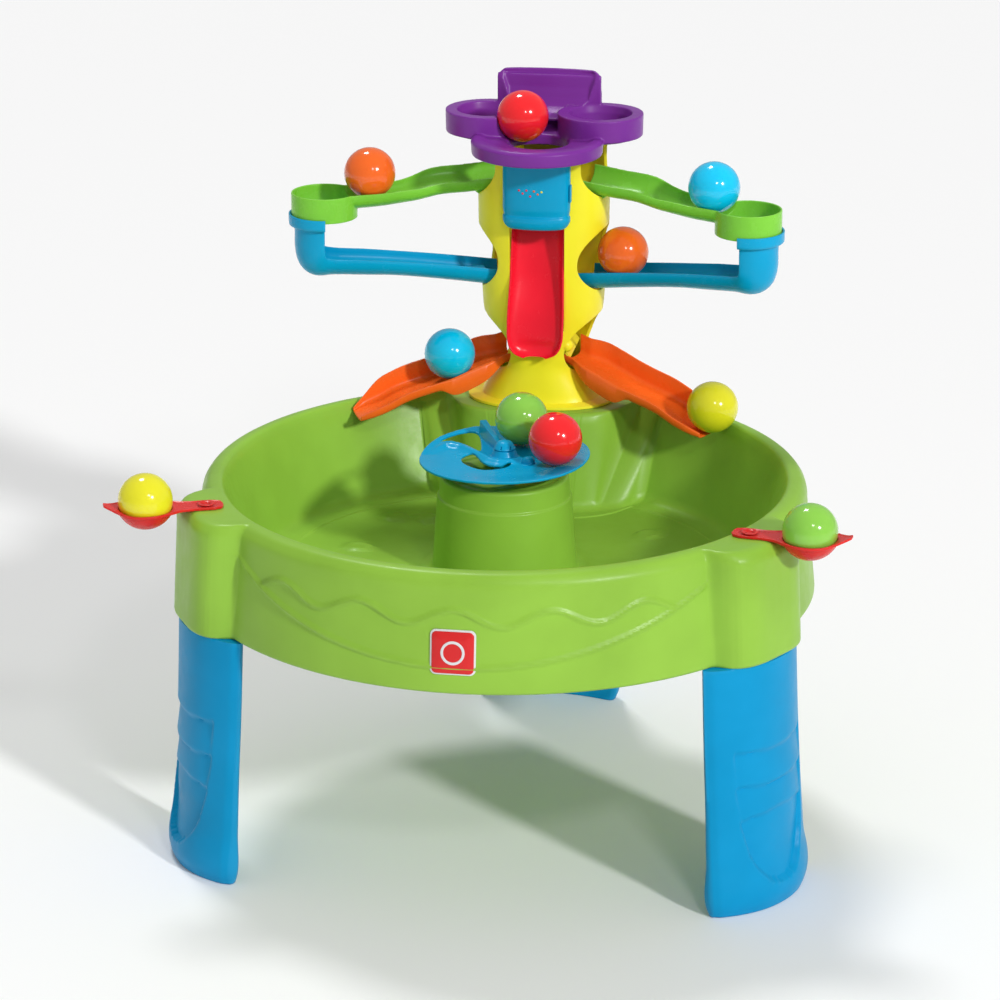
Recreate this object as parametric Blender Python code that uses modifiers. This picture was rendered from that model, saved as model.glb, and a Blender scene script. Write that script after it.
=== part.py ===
"""Ball-play activity table: a round tub on three legs, with a tower of chutes and ten play balls.

Units are metres, +Z is up and -Y is the front. Everything is modelled round the tub's own axis and then
hung on one empty, which puts the middle of the whole object's footprint over the origin.
"""

import math

import bmesh
import bpy
from mathutils import Matrix, Vector

# ---- placing -------------------------------------------------------------------------------------
TUB_X = 0.0034          # tub axis, so that the footprint's middle is at the origin
TUB_Y = -0.0219
GAP = 0.0003             # clearance between pieces that touch
SEAM = 0.0005            # each tower half stops this far short of the parting plane
TAU = 2 * math.pi

# ---- balls ---------------------------------------------------------------------------------------
BALL_R = 0.030

# ---- tub -----------------------------------------------------------------------------------------
RIM_Z = 0.4125
RIM_R = 0.339            # outside of the rolled rim
SKIRT_R = 0.350          # outside of the skirt's bottom edge
SKIRT_Z = 0.283
WALL = 0.0035
LOBE_TOP = 0.374         # how far each leg lobe reaches from the tub axis, at the rim and at the skirt's edge
LOBE_BOTTOM = 0.380
LOBE_V = 0.310
LOBE_HALF = 0.067
INNER_TOP = 0.311        # bowl wall's radius at the top and at its foot
INNER_FOOT = 0.277
FLOOR_Z = 0.300
PLATFORM_Y = 0.300       # raised block in the bowl that the tower stands on
LEG_ANGLES = {"leg_left": -60.0, "leg_right": 60.0, "leg_rear": 180.0}

# ---- tower ---------------------------------------------------------------------------------------
TOWER_Y = 0.297
TOWER_POWER = 2.4
TOWER_WALL = 0.003
TOWER_LEVELS = [         # height, half width, half depth
    (0.4130, 0.0885, 0.0700),
    (0.4165, 0.0885, 0.0700),
    (0.4175, 0.0730, 0.0610),
    (0.4320, 0.0650, 0.0590),
    (0.4500, 0.0520, 0.0560),
    (0.4580, 0.0475, 0.0555),
    (0.4820, 0.0600, 0.0565),
    (0.5200, 0.0705, 0.0585),
    (0.6200, 0.0765, 0.0600),
    (0.7194, 0.0775, 0.0605),
]
WINDOW_Y = 0.288
WINDOW_R = 0.042
WINDOW_Z = (0.4825, 0.5810, 0.7010)
DECK_Z = 0.7200          # underside of the top tray

# ---- arms and slides -----------------------------------------------------------------------------
ARM_START = Vector((0.0505, 0.2885))
CUP = Vector((0.2474, 0.2222))
CUP_R = 0.0385
CUP_BOTTOM = 0.6390
CUP_TOP = 0.6685
SHEET = 0.0022           # wall of the arms, slides and scoops

# ---- scoops and spinner --------------------------------------------------------------------------
SCOOP_PIVOT = {"left": (-0.3030, -0.1691), "right": (0.2911, -0.1677)}
SCOOP_REACH = 0.0660     # pivot to the middle of the bowl
SCOOP_TURN = {"left": -70.0, "right": 82.0}    # bearing of each scoop from the front, degrees
SPINNER_R = 0.0955
SPINNER_Z = 0.4270
PEDESTAL_TOP = 0.4110


# ---- scene ---------------------------------------------------------------------------------------
for old in list(bpy.data.objects):
    bpy.data.objects.remove(old, do_unlink=True)

PARTS = bpy.data.collections.new("ball_play_table")
CUTTERS = bpy.data.collections.new("cutters")
for group in (PARTS, CUTTERS):
    bpy.context.scene.collection.children.link(group)

ORIGIN = bpy.data.objects.new("tub_axis", None)
ORIGIN.location = (TUB_X, TUB_Y, 0)
PARTS.objects.link(ORIGIN)


def plastic(name, colour, roughness=0.38):
    material = bpy.data.materials.new(name)
    material.use_nodes = True
    shader = material.node_tree.nodes["Principled BSDF"]
    shader.inputs["Base Color"].default_value = (*colour, 1)
    shader.inputs["Roughness"].default_value = roughness
    shader.inputs["Metallic"].default_value = 0
    return material


LIME = plastic("lime_plastic", (0.30, 0.58, 0.07))
BLUE = plastic("blue_plastic", (0.0, 0.36, 0.70))
SKY = plastic("sky_plastic", (0.0, 0.42, 0.78))
YELLOW = plastic("yellow_plastic", (0.86, 0.74, 0.04))
PURPLE = plastic("purple_plastic", (0.20, 0.03, 0.30))
ORANGE = plastic("orange_plastic", (0.90, 0.10, 0.015))
RED = plastic("red_plastic", (0.80, 0.01, 0.03))
SCOOP_RED = plastic("scoop_red_plastic", (0.60, 0.03, 0.02))
GREEN = plastic("green_plastic", (0.25, 0.55, 0.05))
STEEL = plastic("steel", (0.5, 0.5, 0.5), 0.3)
STEEL.node_tree.nodes["Principled BSDF"].inputs["Metallic"].default_value = 1
BALL_COLOURS = {
    "red": RED,
    "orange": plastic("ball_orange", (0.90, 0.16, 0.02), 0.15),
    "blue": plastic("ball_blue", (0.01, 0.52, 0.80), 0.15),
    "yellow": plastic("ball_yellow", (0.80, 0.75, 0.03), 0.15),
    "green": plastic("ball_green", (0.32, 0.60, 0.12), 0.15),
}


def add_object(name, mesh, material, collection=PARTS, location=(0, 0, 0)):
    obj = bpy.data.objects.new(name, mesh)
    collection.objects.link(obj)
    obj.parent = ORIGIN
    obj.location = location
    if material:
        mesh.materials.append(material)
    if collection is CUTTERS:
        obj.hide_render = True
        obj.display_type = "WIRE"
    else:
        mesh.shade_smooth()
        mesh.set_sharp_from_angle(angle=math.radians(35))
    return obj


def mesh_of(bm, outward=True):
    if outward:
        bmesh.ops.recalc_face_normals(bm, faces=bm.faces)
    mesh = bpy.data.meshes.new("mesh")
    bm.to_mesh(mesh)
    bm.free()
    return mesh


def loft(sections, closed=True, cap_start=True, cap_end=True):
    """Quads between sections of equal point counts; each end may be capped with one face."""
    bm = bmesh.new()
    rows = [[bm.verts.new(p) for p in section] for section in sections]
    count = len(rows[0])
    for low, high in zip(rows, rows[1:]):
        for i in range(count if closed else count - 1):
            j = (i + 1) % count
            bm.faces.new((low[i], low[j], high[j], high[i]))
    if cap_start:
        bm.faces.new(list(reversed(rows[0])))
    if cap_end:
        bm.faces.new(rows[-1])
    return bm


def solidify(obj, thickness):
    """A wall on the inner side of an open surface whose faces point out."""
    modifier = obj.modifiers.new("wall", "SOLIDIFY")
    modifier.thickness = thickness
    modifier.offset = -1
    return modifier


def combine(obj, other, operation):
    modifier = obj.modifiers.new(operation.lower(), "BOOLEAN")
    modifier.operation = operation
    modifier.object = other
    modifier.solver = "EXACT"
    return modifier


def cone_mesh(radius_low, radius_high, height, segments=32, axis="Z"):
    bm = bmesh.new()
    bmesh.ops.create_cone(bm, cap_ends=True, segments=segments, radius1=radius_low,
                          radius2=radius_high, depth=height)
    if axis == "X":
        bmesh.ops.rotate(bm, verts=bm.verts, matrix=Matrix.Rotation(math.radians(90), 3, "Y"))
    return mesh_of(bm)


def cutter_cylinder(name, radius, height, location, axis="Z", segments=32):
    return add_object(name, cone_mesh(radius, radius, height, segments, axis), None, CUTTERS, location)


def block_mesh(low, high):
    bm = bmesh.new()
    bmesh.ops.create_cube(bm, size=1)
    size = Vector(high) - Vector(low)
    middle = (Vector(high) + Vector(low)) / 2
    bmesh.ops.scale(bm, vec=size, verts=bm.verts)
    bmesh.ops.translate(bm, vec=middle, verts=bm.verts)
    return mesh_of(bm)


def turned(name, profile, material, location=(0, 0, 0), steps=32):
    """A closed profile of (radius, height) points turned round Z; the points run anticlockwise in X-Z."""
    bm = bmesh.new()
    corners = [bm.verts.new((r, 0, z)) for r, z in reversed(profile)]
    for a, b in zip(corners, corners[1:] + corners[:1]):
        bm.edges.new((a, b))
    mesh = bpy.data.meshes.new(name)
    bm.to_mesh(mesh)
    bm.free()
    obj = add_object(name, mesh, material, PARTS, location)
    screw = obj.modifiers.new("turn", "SCREW")
    screw.steps = screw.render_steps = steps
    screw.use_merge_vertices = True
    screw.merge_threshold = 0.00001
    return obj


def bearing(angle, distance, across=0.0):
    """Point at a bearing measured from the front (-Y) towards +X, with an offset across it."""
    a = math.radians(angle)
    return (distance * math.sin(a) + across * math.cos(a), -distance * math.cos(a) + across * math.sin(a))


# ---- tub -----------------------------------------------------------------------------------------
def outline_hit(delta, middle, half, depth, power, outermost):
    """Where a ray from the tub axis crosses a rounded outline that sits on the ray's own bearing."""
    def outside(t):
        across = abs(t * math.sin(delta)) / half
        along = abs(t * math.cos(delta) - middle) / depth
        return across ** power + along ** power - 1

    steps = [0.12 + 0.30 * i / 150 for i in range(151)]
    inside = [t for t in steps if outside(t) < 0]
    if not inside:
        return None
    t_in = max(inside) if outermost else min(inside)
    t_out = t_in + (0.30 / 150 if outermost else -0.30 / 150)
    for _ in range(25):
        t = (t_in + t_out) / 2
        t_in, t_out = (t, t_out) if outside(t) < 0 else (t_in, t)
    return t_in


def off_bearing(angle, axis):
    return math.radians((angle - axis + 180) % 360 - 180)


def skirt_radius(angle, base, reach):
    """Plain radius, swollen smoothly where one of the three leg lobes stands out."""
    radius = base
    for axis in LEG_ANGLES.values():
        hit = outline_hit(off_bearing(angle, axis), LOBE_V, LOBE_HALF, reach - LOBE_V, 3.6, True)
        if hit:
            radius = (radius ** 50 + hit ** 50) ** (1 / 50)
    return radius


def inner_radius(angle, base, half, depth):
    """Bowl wall's radius, drawn in round the tower's platform."""
    hit = outline_hit(off_bearing(angle, 180.0), PLATFORM_Y, half, depth, 2.6, False)
    return (base ** -40 + hit ** -40) ** (-1 / 40) if hit else base


def tub_angles():
    lobe = [-15.5, -13, -11.5, -10, -8, -5, 0, 5, 8, 10, 11.5, 13, 15.5]
    rear = [-32, -27, -23, -20, 20, 23, 27, 32]
    between = [axis + step for axis in (0.0, 120.0, 240.0) for step in (-36, -24, -12, 0, 12, 24, 36)]
    angles = [axis + step for axis in LEG_ANGLES.values() for step in lobe]
    angles += [180 + step for step in rear]
    angles += [a for a in between if abs(math.degrees(off_bearing(a, 180.0))) > 34]
    return sorted({round(a % 360, 3) for a in angles})


def tub_column(angle):
    top = inner_radius(angle, INNER_TOP, 0.105, 0.088)
    foot = inner_radius(angle, INNER_FOOT, 0.134, 0.107)
    out = skirt_radius(angle, RIM_R, LOBE_TOP)
    bottom = skirt_radius(angle, SKIRT_R, LOBE_BOTTOM)
    return [
        (0.0065, PEDESTAL_TOP), (0.0675, PEDESTAL_TOP), (0.0718, 0.4065), (0.0725, 0.3885),
        (0.0755, 0.3855), (0.0815, 0.3070), (0.0890, FLOOR_Z), (foot - 0.014, FLOOR_Z),
        (foot - 0.001, 0.3090), (top + 0.001, 0.4040), (top + 0.010, RIM_Z), (out - 0.015, RIM_Z),
        (out - 0.0055, 0.4080), (out - 0.0008, 0.3960), (bottom, SKIRT_Z),
    ]


def make_tub():
    sections = [[(*bearing(angle, r), z) for r, z in tub_column(angle)] for angle in tub_angles()]
    bm = loft(sections + sections[:1], closed=False, cap_start=False, cap_end=False)
    bmesh.ops.remove_doubles(bm, verts=bm.verts, dist=0.00001)
    mesh = mesh_of(bm)
    if mesh.polygons[0].normal.z < 0:
        mesh.flip_normals()
    tub = add_object("tub", mesh, LIME)
    solidify(tub, WALL)
    for side, pivot in SCOOP_PIVOT.items():
        hole = cutter_cylinder(f"pin_hole_{side}", 0.0040, 0.03, (*pivot, RIM_Z), segments=16)
        combine(tub, hole, "DIFFERENCE")
    for side in (-1, 1):
        place = (side * TOWER_SCREW[0], TOWER_SCREW[1], RIM_Z)
        combine(tub, cutter_cylinder(f"screw_hole_{side}", 0.0023, 0.03, place, segments=12), "DIFFERENCE")


TOWER_SCREW = (0.045, 0.3551)


# ---- legs ----------------------------------------------------------------------------------------
LEG_HALF = 0.0900
LEG_LEVELS = [           # height, half width, inner face, side edge, outer bulge (all from the tub axis)
    (0.0000, 0.0830, 0.3490, 0.3600, 0.3925),
    (0.0060, 0.0855, 0.3480, 0.3615, 0.3945),
    (0.0600, 0.0850, 0.3450, 0.3570, 0.3905),
    (0.1200, 0.0840, 0.3420, 0.3520, 0.3855),
    (0.2000, 0.0830, 0.3370, 0.3460, 0.3810),
    (0.2824, 0.0820, 0.3330, 0.3415, 0.3780),
    (0.2826, 0.0540, 0.3320, 0.3420, 0.3640),
    (0.3300, 0.0520, 0.3330, 0.3420, 0.3620),
]


def leg_section(axis, level):
    height, half, inner, side, bulge = level
    outer = [(half * s, side + (bulge - side) * (1 - s * s)) for s in (-1, -0.88, -0.7, -0.45, -0.2)]
    outer += [(-u, v) for u, v in reversed(outer)]
    hollow = 0.45 * (bulge - side)
    back = [(half * 0.92, inner), (half * 0.35, inner + hollow), (-half * 0.35, inner + hollow), (-half * 0.92, inner)]
    return [(*bearing(axis, v, u), height) for u, v in outer + back]


def make_legs():
    for name, axis in LEG_ANGLES.items():
        bm = loft([leg_section(axis, level) for level in LEG_LEVELS], cap_end=False)
        solidify(add_object(name, mesh_of(bm), BLUE), 0.003)


# ---- tower ---------------------------------------------------------------------------------------
def oval(half_width, half_depth, turn):
    """Point of the tower's rounded-square section; turn runs from -90 (left) over 0 (front) to 90."""
    a = math.radians(turn)
    scale = (abs(math.sin(a)) ** TOWER_POWER + abs(math.cos(a)) ** TOWER_POWER) ** (-1 / TOWER_POWER)
    return half_width * scale * math.sin(a), -half_depth * scale * math.cos(a)


def tower_half(name, facing):
    turns = [-90 + 12 * i for i in range(16)]
    sections = []
    for height, half_width, half_depth in TOWER_LEVELS:
        ring = []
        for turn in turns:
            x, y = oval(half_width, half_depth, turn)
            ring.append((x, TOWER_Y + facing * (y - SEAM), height))
        sections.append(ring)
    bm = loft(sections, closed=False, cap_start=False, cap_end=False)
    mesh = mesh_of(bm)
    if mesh.polygons[len(turns) * 8].normal.y * facing > 0:
        mesh.flip_normals()
    half = add_object(name, mesh, YELLOW)
    solidify(half, TOWER_WALL)
    for z in WINDOW_Z:
        window = cutter_cylinder(f"{name}_window_{z:.4f}", WINDOW_R, 0.24, (0, WINDOW_Y, z), "X")
        combine(half, window, "DIFFERENCE")
    return half


def make_tower():
    front = tower_half("tower_front", 1)
    opening = add_object("front_opening", block_mesh((-0.0322, 0.20, 0.5060), (0.0322, 0.27, 0.7300)), None, CUTTERS)
    combine(front, opening, "DIFFERENCE")
    rear = tower_half("tower_rear", -1)
    for side, label in ((-1, "left"), (1, "right")):
        place = (side * TOWER_SCREW[0], TOWER_SCREW[1], 0.415)
        combine(rear, cutter_cylinder(f"rear_screw_hole_{label}", 0.0023, 0.02, place, segments=12), "DIFFERENCE")
        screw = [(0, 0.4040), (0.0018, 0.4052), (0.0018, 0.4179), (0.0039, 0.4179), (0.0036, 0.4196), (0, 0.4206)]
        make_pin(f"tower_screw_{label}", screw, STEEL, (side * TOWER_SCREW[0], TOWER_SCREW[1], 0), 12)


def make_pin(name, profile, material, location, steps=16, collection=PARTS):
    """A solid pin from an open profile whose first and last points lie on its axis, bottom to top."""
    sections = [[(r * math.cos(TAU * i / steps), r * math.sin(TAU * i / steps), z) for i in range(steps)]
                for r, z in profile[1:-1]]
    bm = loft(sections, cap_start=False, cap_end=False)
    bm.verts.ensure_lookup_table()
    for row, tip in ((0, profile[0]), (len(sections) - 1, profile[-1])):
        apex = bm.verts.new((0, 0, tip[1]))
        bm.verts.ensure_lookup_table()
        ring = [bm.verts[row * steps + i] for i in range(steps)]
        for i in range(steps):
            bm.faces.new((ring[i], ring[(i + 1) % steps], apex))
    return add_object(name, mesh_of(bm), material, collection, location)


def band(points, thickness):
    """Closed loop of a strip: the given 2D line and its offset to the right-hand side."""
    offset = []
    for i, (x, y) in enumerate(points):
        before = points[max(i - 1, 0)]
        after = points[min(i + 1, len(points) - 1)]
        dx, dy = after[0] - before[0], after[1] - before[1]
        length = math.hypot(dx, dy)
        offset.append((x + thickness * dy / length, y - thickness * dx / length))
    return list(points) + offset[::-1]


def make_baffles():
    """Plates inside the tower: one brings the middle ball to the front slide, one parts the side balls."""
    ramp = [(0.0520, 0.7060), (0.0300, 0.6960), (0.0, 0.6800), (-0.0150, 0.6560)]
    loop = band(ramp, 0.0025)
    sections = [[(x, TOWER_Y + y, z) for y, z in loop] for x in (-0.0300, 0.0300)]
    add_object("upper_ramp", mesh_of(loft(sections)), GREEN)
    ridge = [(-0.0380, 0.4700), (-0.0300, 0.4800), (0.0, 0.5150), (0.0300, 0.4800), (0.0380, 0.4700)]
    loop = band(ridge, 0.0025)
    sections = [[(x, y, z) for x, z in loop] for y in (TOWER_Y - 0.0394, TOWER_Y + 0.0394)]
    add_object("lower_divider", mesh_of(loft(sections)), YELLOW)


def make_drop_cover():
    levels = [(0.6320, 0.84, 0.80), (0.6350, 0.93, 0.93), (0.6410, 1.0, 1.0), (0.7190, 1.0, 1.0)]
    arc = [math.radians(20 * i - 90) for i in range(10)]
    sections = []
    for z, narrow, bulge in levels:
        edge = [(0.0395 * math.sin(a), 0.2385 - 0.0205 * bulge * max(math.cos(a), 0) ** 0.7) for a in arc]
        edge += [(0.0370 * math.sin(a), 0.2385 - 0.0180 * bulge * max(math.cos(a), 0) ** 0.7) for a in reversed(arc)]
        sections.append([(x * narrow, y, z) for x, y in edge])
    add_object("drop_cover", mesh_of(loft(sections)), SKY)


def make_front_slide():
    stations = [         # height, rim depth, half width, channel depth
        (0.6400, 0.2560, 0.0292, 0.0180),
        (0.6150, 0.2480, 0.0294, 0.0180),
        (0.5700, 0.2400, 0.0294, 0.0170),
        (0.5200, 0.2290, 0.0294, 0.0085),
        (0.5000, 0.2250, 0.0282, 0.0095),
        (0.4880, 0.2225, 0.0240, 0.0100),
        (0.4790, 0.2215, 0.0130, 0.0100),
    ]
    sections = []
    for z, rim_y, half, depth in stations:
        line = [(half * math.cos(a), rim_y + depth * math.sin(a) ** 0.8)
                for a in [math.pi * i / 8 for i in range(9)]]
        sections.append([(x, y, z) for x, y in band(line, SHEET)])
    add_object("front_slide", mesh_of(loft(sections)), RED)


# ---- top tray ------------------------------------------------------------------------------------
FUNNEL = (0.0, 0.2390)
FUNNEL_R = 0.0765
THROAT = (0.0, 0.2450)
SIDE_HOLE = (0.0660, 0.2960)


def make_tray():
    bm = bmesh.new()
    bmesh.ops.create_cone(bm, cap_ends=True, segments=40, radius1=FUNNEL_R - 0.001, radius2=FUNNEL_R, depth=0.0204)
    bmesh.ops.translate(bm, vec=(*FUNNEL, DECK_Z + 0.0102), verts=bm.verts)
    tray = add_object("top_tray", mesh_of(bm), PURPLE)
    deck = [(-0.060, 0.262, DECK_Z), (0.060, 0.3420, 0.7480)]
    combine(tray, add_object("tray_deck", block_mesh(*deck), None, CUTTERS), "UNION")
    for side in (-1, 1):
        place = (side * SIDE_HOLE[0], SIDE_HOLE[1], 0.7460)
        combine(tray, cutter_cylinder(f"tray_side_{side}", 0.0500, 0.0220, place), "UNION")
    arc = [math.radians(30 * i - 90) for i in range(7)]
    outer = [(0.0625 * math.sin(a), 0.3390 + 0.0090 * math.cos(a)) for a in arc]
    inner = [(0.0610 * math.sin(a), 0.3345 + 0.0090 * math.cos(a)) for a in reversed(arc)]
    sections = [[(x, y, z) for x, y in outer + inner] for z in (0.7400, 0.7970)]
    board = add_object("tray_board", mesh_of(loft(sections)), None, CUTTERS)
    combine(tray, board, "UNION")
    bore = [(0, 0.7000), (0.0340, 0.7000), (0.0340, 0.7230), (0.0440, 0.7265), (0.0640, 0.7430), (0.0640, 0.7700),
            (0, 0.7700)]
    combine(tray, make_pin("funnel_bore", bore, None, (*THROAT, 0), 32, CUTTERS), "DIFFERENCE")
    for side in (-1, 1):
        place = (side * SIDE_HOLE[0], SIDE_HOLE[1], 0.7300)
        combine(tray, cutter_cylinder(f"tray_hole_{side}", 0.0360, 0.08, place), "DIFFERENCE")


# ---- arms and slides -----------------------------------------------------------------------------
def channel(half, depth, wall=0.0, lift=0.0, count=9):
    """U section as (across, down) points from one rim to the other, shrunk by a wall."""
    line = []
    for i in range(count):
        a = math.pi * i / (count - 1)
        line.append(((half - wall) * math.cos(a), (depth - wall) * math.sin(a) ** 0.75))
    if lift:
        line = [(line[0][0], -lift)] + line + [(line[-1][0], -lift)]
    return line


def arm_frame(side):
    """Start, outward direction and sideways direction of an arm, in plan."""
    start = Vector((side * ARM_START.x, ARM_START.y))
    out = (Vector((side * CUP.x, CUP.y)) - start).normalized()
    return start, out, Vector((-out.y, out.x))


def trough(side, stations, line_of, bank=0.0):
    """Sections along an arm: each station is (distance, rim height, half width, depth)."""
    start, out, across = arm_frame(side)
    sections = []
    for distance, rim, half, depth in stations:
        centre = start + out * distance
        section = []
        lean = side * bank * min(max((0.125 - distance) / 0.045, 0.0), 1.0) / half
        for u, down in line_of(half, depth):
            section.append((centre.x + across.x * u, centre.y + across.y * u, rim - down + lean * u))
        sections.append(section)
    return sections


UPPER_STATIONS = [
    (0.0, 0.6875, 0.0240, 0.0200), (0.040, 0.6843, 0.0240, 0.0200), (0.078, 0.6815, 0.0240, 0.0197),
    (0.105, 0.6740, 0.0242, 0.0190), (0.130, 0.6705, 0.0250, 0.0195), (0.186, 0.6684, 0.0270, 0.0210),
]
UPPER_BANK = 0.0045      # how much higher the back wall is, and lower the front wall, at the tower end
LOWER_STATIONS = [
    (0.0, 0.5710, 0.0240, 0.0220), (0.065, 0.5800, 0.0240, 0.0205), (0.135, 0.5880, 0.0245, 0.0197),
    (0.160, 0.5905, 0.0255, 0.0208),
]


def make_upper_arm(name, side):
    outer = trough(side, UPPER_STATIONS, lambda half, depth: channel(half, depth), UPPER_BANK)
    arm = add_object(name, mesh_of(loft(outer)), GREEN)
    cup_place = (side * CUP.x, CUP.y, (CUP_TOP + CUP_BOTTOM) / 2)
    combine(arm, cutter_cylinder(f"{name}_cup", CUP_R, CUP_TOP - CUP_BOTTOM, cup_place, segments=36), "UNION")
    ends = {UPPER_STATIONS[0][0]: -0.020, UPPER_STATIONS[-1][0]: 0.004}
    stations = [(d + ends.get(d, 0), rim, half, depth) for d, rim, half, depth in UPPER_STATIONS]
    inner = trough(side, stations, lambda half, depth: channel(half, depth, SHEET, 0.02), UPPER_BANK)
    combine(arm, add_object(f"{name}_inner", mesh_of(loft(inner)), None, CUTTERS), "DIFFERENCE")
    bore = cutter_cylinder(f"{name}_bore", CUP_R - SHEET, 0.10, cup_place, segments=36)
    combine(arm, bore, "DIFFERENCE")


def make_lower_arm(name, side):
    """Trough that bends up into a half round collar under the cup."""
    start, out, across = arm_frame(side)
    reach = (Vector((side * CUP.x, CUP.y)) - start).length
    sections = trough(side, LOWER_STATIONS, lambda half, depth: band(channel(half, depth, count=11), SHEET))
    bend = [             # back from the cup, height, tilt of the section, half width, depth
        (0.0200, 0.5925, 0, 0.0258, 0.0210), (0.0070, 0.5940, 8, 0.0280, 0.0222),
        (0.0000, 0.5960, 30, 0.0305, 0.0275), (-0.0030, 0.6000, 55, 0.0325, 0.0300),
        (-0.0040, 0.6080, 78, 0.0330, 0.0295), (-0.0040, 0.6170, 90, 0.0330, 0.0290),
        (-0.0040, 0.6305, 90, 0.0330, 0.0290), (-0.0040, 0.6310, 90, 0.0397, 0.0357),
        (-0.0040, 0.6445, 90, 0.0397, 0.0357),
    ]
    for back, height, tilt, half, depth in bend:
        a = math.radians(tilt)
        centre = start + out * (reach - back)
        past = max(-back, 0.0)
        first = math.asin(past / (depth + past))
        power = 0.75 + 0.25 * tilt / 90
        line = []
        for i in range(11):
            t = first + (math.pi - 2 * first) * i / 10
            line.append((half * math.cos(t), (depth + past) * math.sin(t) ** power - past))
        section = []
        for u, down in band(line, SHEET):
            shift = out * (down * math.sin(a)) + across * u
            section.append((centre.x + shift.x, centre.y + shift.y, height - down * math.cos(a)))
        sections.append(section)
    add_object(name, mesh_of(loft(sections)), SKY)


SLIDE_START = Vector((0.0490, 0.2740))
SLIDE_TIP = Vector((0.2080, 0.2020))
SLIDE_STATIONS = [       # distance, floor height, half width, back wall, front wall, depth of the front apron
    (0.0000, 0.4600, 0.0190, 0.0240, 0.0100, 0.0),
    (0.0176, 0.4550, 0.0250, 0.0260, 0.0100, 0.0120),
    (0.0420, 0.4470, 0.0265, 0.0260, 0.0100, 0.0180),
    (0.0637, 0.4390, 0.0265, 0.0260, 0.0100, 0.0150),
    (0.0800, 0.4345, 0.0265, 0.0255, 0.0100, 0.0010),
    (0.1220, 0.4230, 0.0265, 0.0245, 0.0100, 0.0),
    (0.1440, 0.4130, 0.0260, 0.0230, 0.0095, 0.0),
    (0.1600, 0.4075, 0.0245, 0.0120, 0.0085, 0.0),
    (0.1745, 0.4030, 0.0185, 0.0040, 0.0050, 0.0),
]


def slide_line(half, back, front):
    """Section as (towards the back, down): high wall at the back, flat floor, low wall in front."""
    return [(half, -back), (half, -0.0070), (half - 0.0050, -0.0008), (half * 0.4, 0), (-half * 0.4, 0),
            (0.0050 - half, -0.0008), (-half, -0.0040), (-half, -front)]


def make_lower_slide(name, side):
    sections = []
    for distance, floor, half, back, front, apron in SLIDE_STATIONS:
        centre, across = slide_place(side, distance)
        line = band(slide_line(half, back, front), SHEET)
        outer_front = min(range(len(line)), key=lambda i: (round(line[i][0], 4), -line[i][1]))
        u, down = line[outer_front]
        line[outer_front] = (u - 0.0004, down + apron)
        sections.append([(centre.x + side * across.x * u, centre.y + side * across.y * u, floor - down)
                         for u, down in line])
    add_object(name, mesh_of(loft(sections)), ORANGE)


def slide_place(side, distance):
    start = Vector((side * SLIDE_START.x, SLIDE_START.y))
    out = (Vector((side * SLIDE_TIP.x, SLIDE_TIP.y)) - start).normalized()
    return start + out * distance, Vector((-out.y, out.x))


# ---- spinner -------------------------------------------------------------------------------------
def make_spinner():
    disc = [(0.0058, 0.4200), (0.0130, 0.4200), (0.0140, SPINNER_Z - 0.0010), (0.0600, SPINNER_Z - 0.0015),
            (SPINNER_R, SPINNER_Z + 0.0005), (SPINNER_R, SPINNER_Z + 0.0030), (0.0600, SPINNER_Z + 0.0015),
            (0.0150, SPINNER_Z + 0.0020), (0.0125, 0.4395), (0.0058, 0.4395)]
    spinner = turned("spinner", disc, SKY, steps=32)
    holes = [((-0.056, 0.044), (0.024, 0.016), 40), ((-0.018, -0.034), (0.026, 0.010), -12),
             ((0.064, 0.030), (0.022, 0.014), -50)]
    for number, (place, (a, b), turn) in enumerate(holes):
        bm = bmesh.new()
        bmesh.ops.create_cone(bm, cap_ends=True, segments=14, radius1=1, radius2=1, depth=0.03)
        bmesh.ops.scale(bm, vec=(a, b, 1), verts=bm.verts)
        bmesh.ops.rotate(bm, verts=bm.verts, matrix=Matrix.Rotation(math.radians(turn), 3, "Z"))
        hole = add_object(f"swirl_{number}", mesh_of(bm), None, CUTTERS, (*place, SPINNER_Z))
        combine(spinner, hole, "DIFFERENCE")
    for number, (angle, length) in enumerate(((112, 0.030), (-38, 0.016))):
        fin = block_mesh((0.018, -0.0035, SPINNER_Z - 0.0002), (0.018 + length, 0.0035, SPINNER_Z + 0.0160))
        obj = add_object(f"fin_{number}", fin, None, CUTTERS)
        obj.rotation_euler = (0, 0, math.radians(angle))
        combine(spinner, obj, "UNION")
    axle = [(0, 0.4010), (0.0035, 0.4010), (0.0035, 0.4055), (0.0055, 0.4055), (0.0055, PEDESTAL_TOP + GAP),
            (0.0120, PEDESTAL_TOP + GAP), (0.0120, 0.4190), (0.0057 - GAP, 0.4190), (0.0057 - GAP, 0.4392),
            (0, 0.4392)]
    make_pin("spinner_axle", axle, SKY, (0, 0, 0), 24)
    nut = [(0.0038, 0.4018), (0.0100, 0.4018), (0.0100, 0.4052), (0.0038, 0.4052)]
    turned("axle_push_nut", nut, STEEL, steps=16)
    cap = [(0, 0.4398), (0.0128, 0.4398), (0.0128, 0.4425), (0.0098, 0.4465), (0.0050, 0.4485), (0, 0.4490)]
    make_pin("spinner_cap", cap, SKY, (0, 0, 0), 24)


# ---- scoops --------------------------------------------------------------------------------------
BOWL_Z = 0.4252          # height of a scoop bowl's centre
SCOOP_TOP = 0.4158
SCOOP_BOTTOM = RIM_Z + GAP


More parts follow.
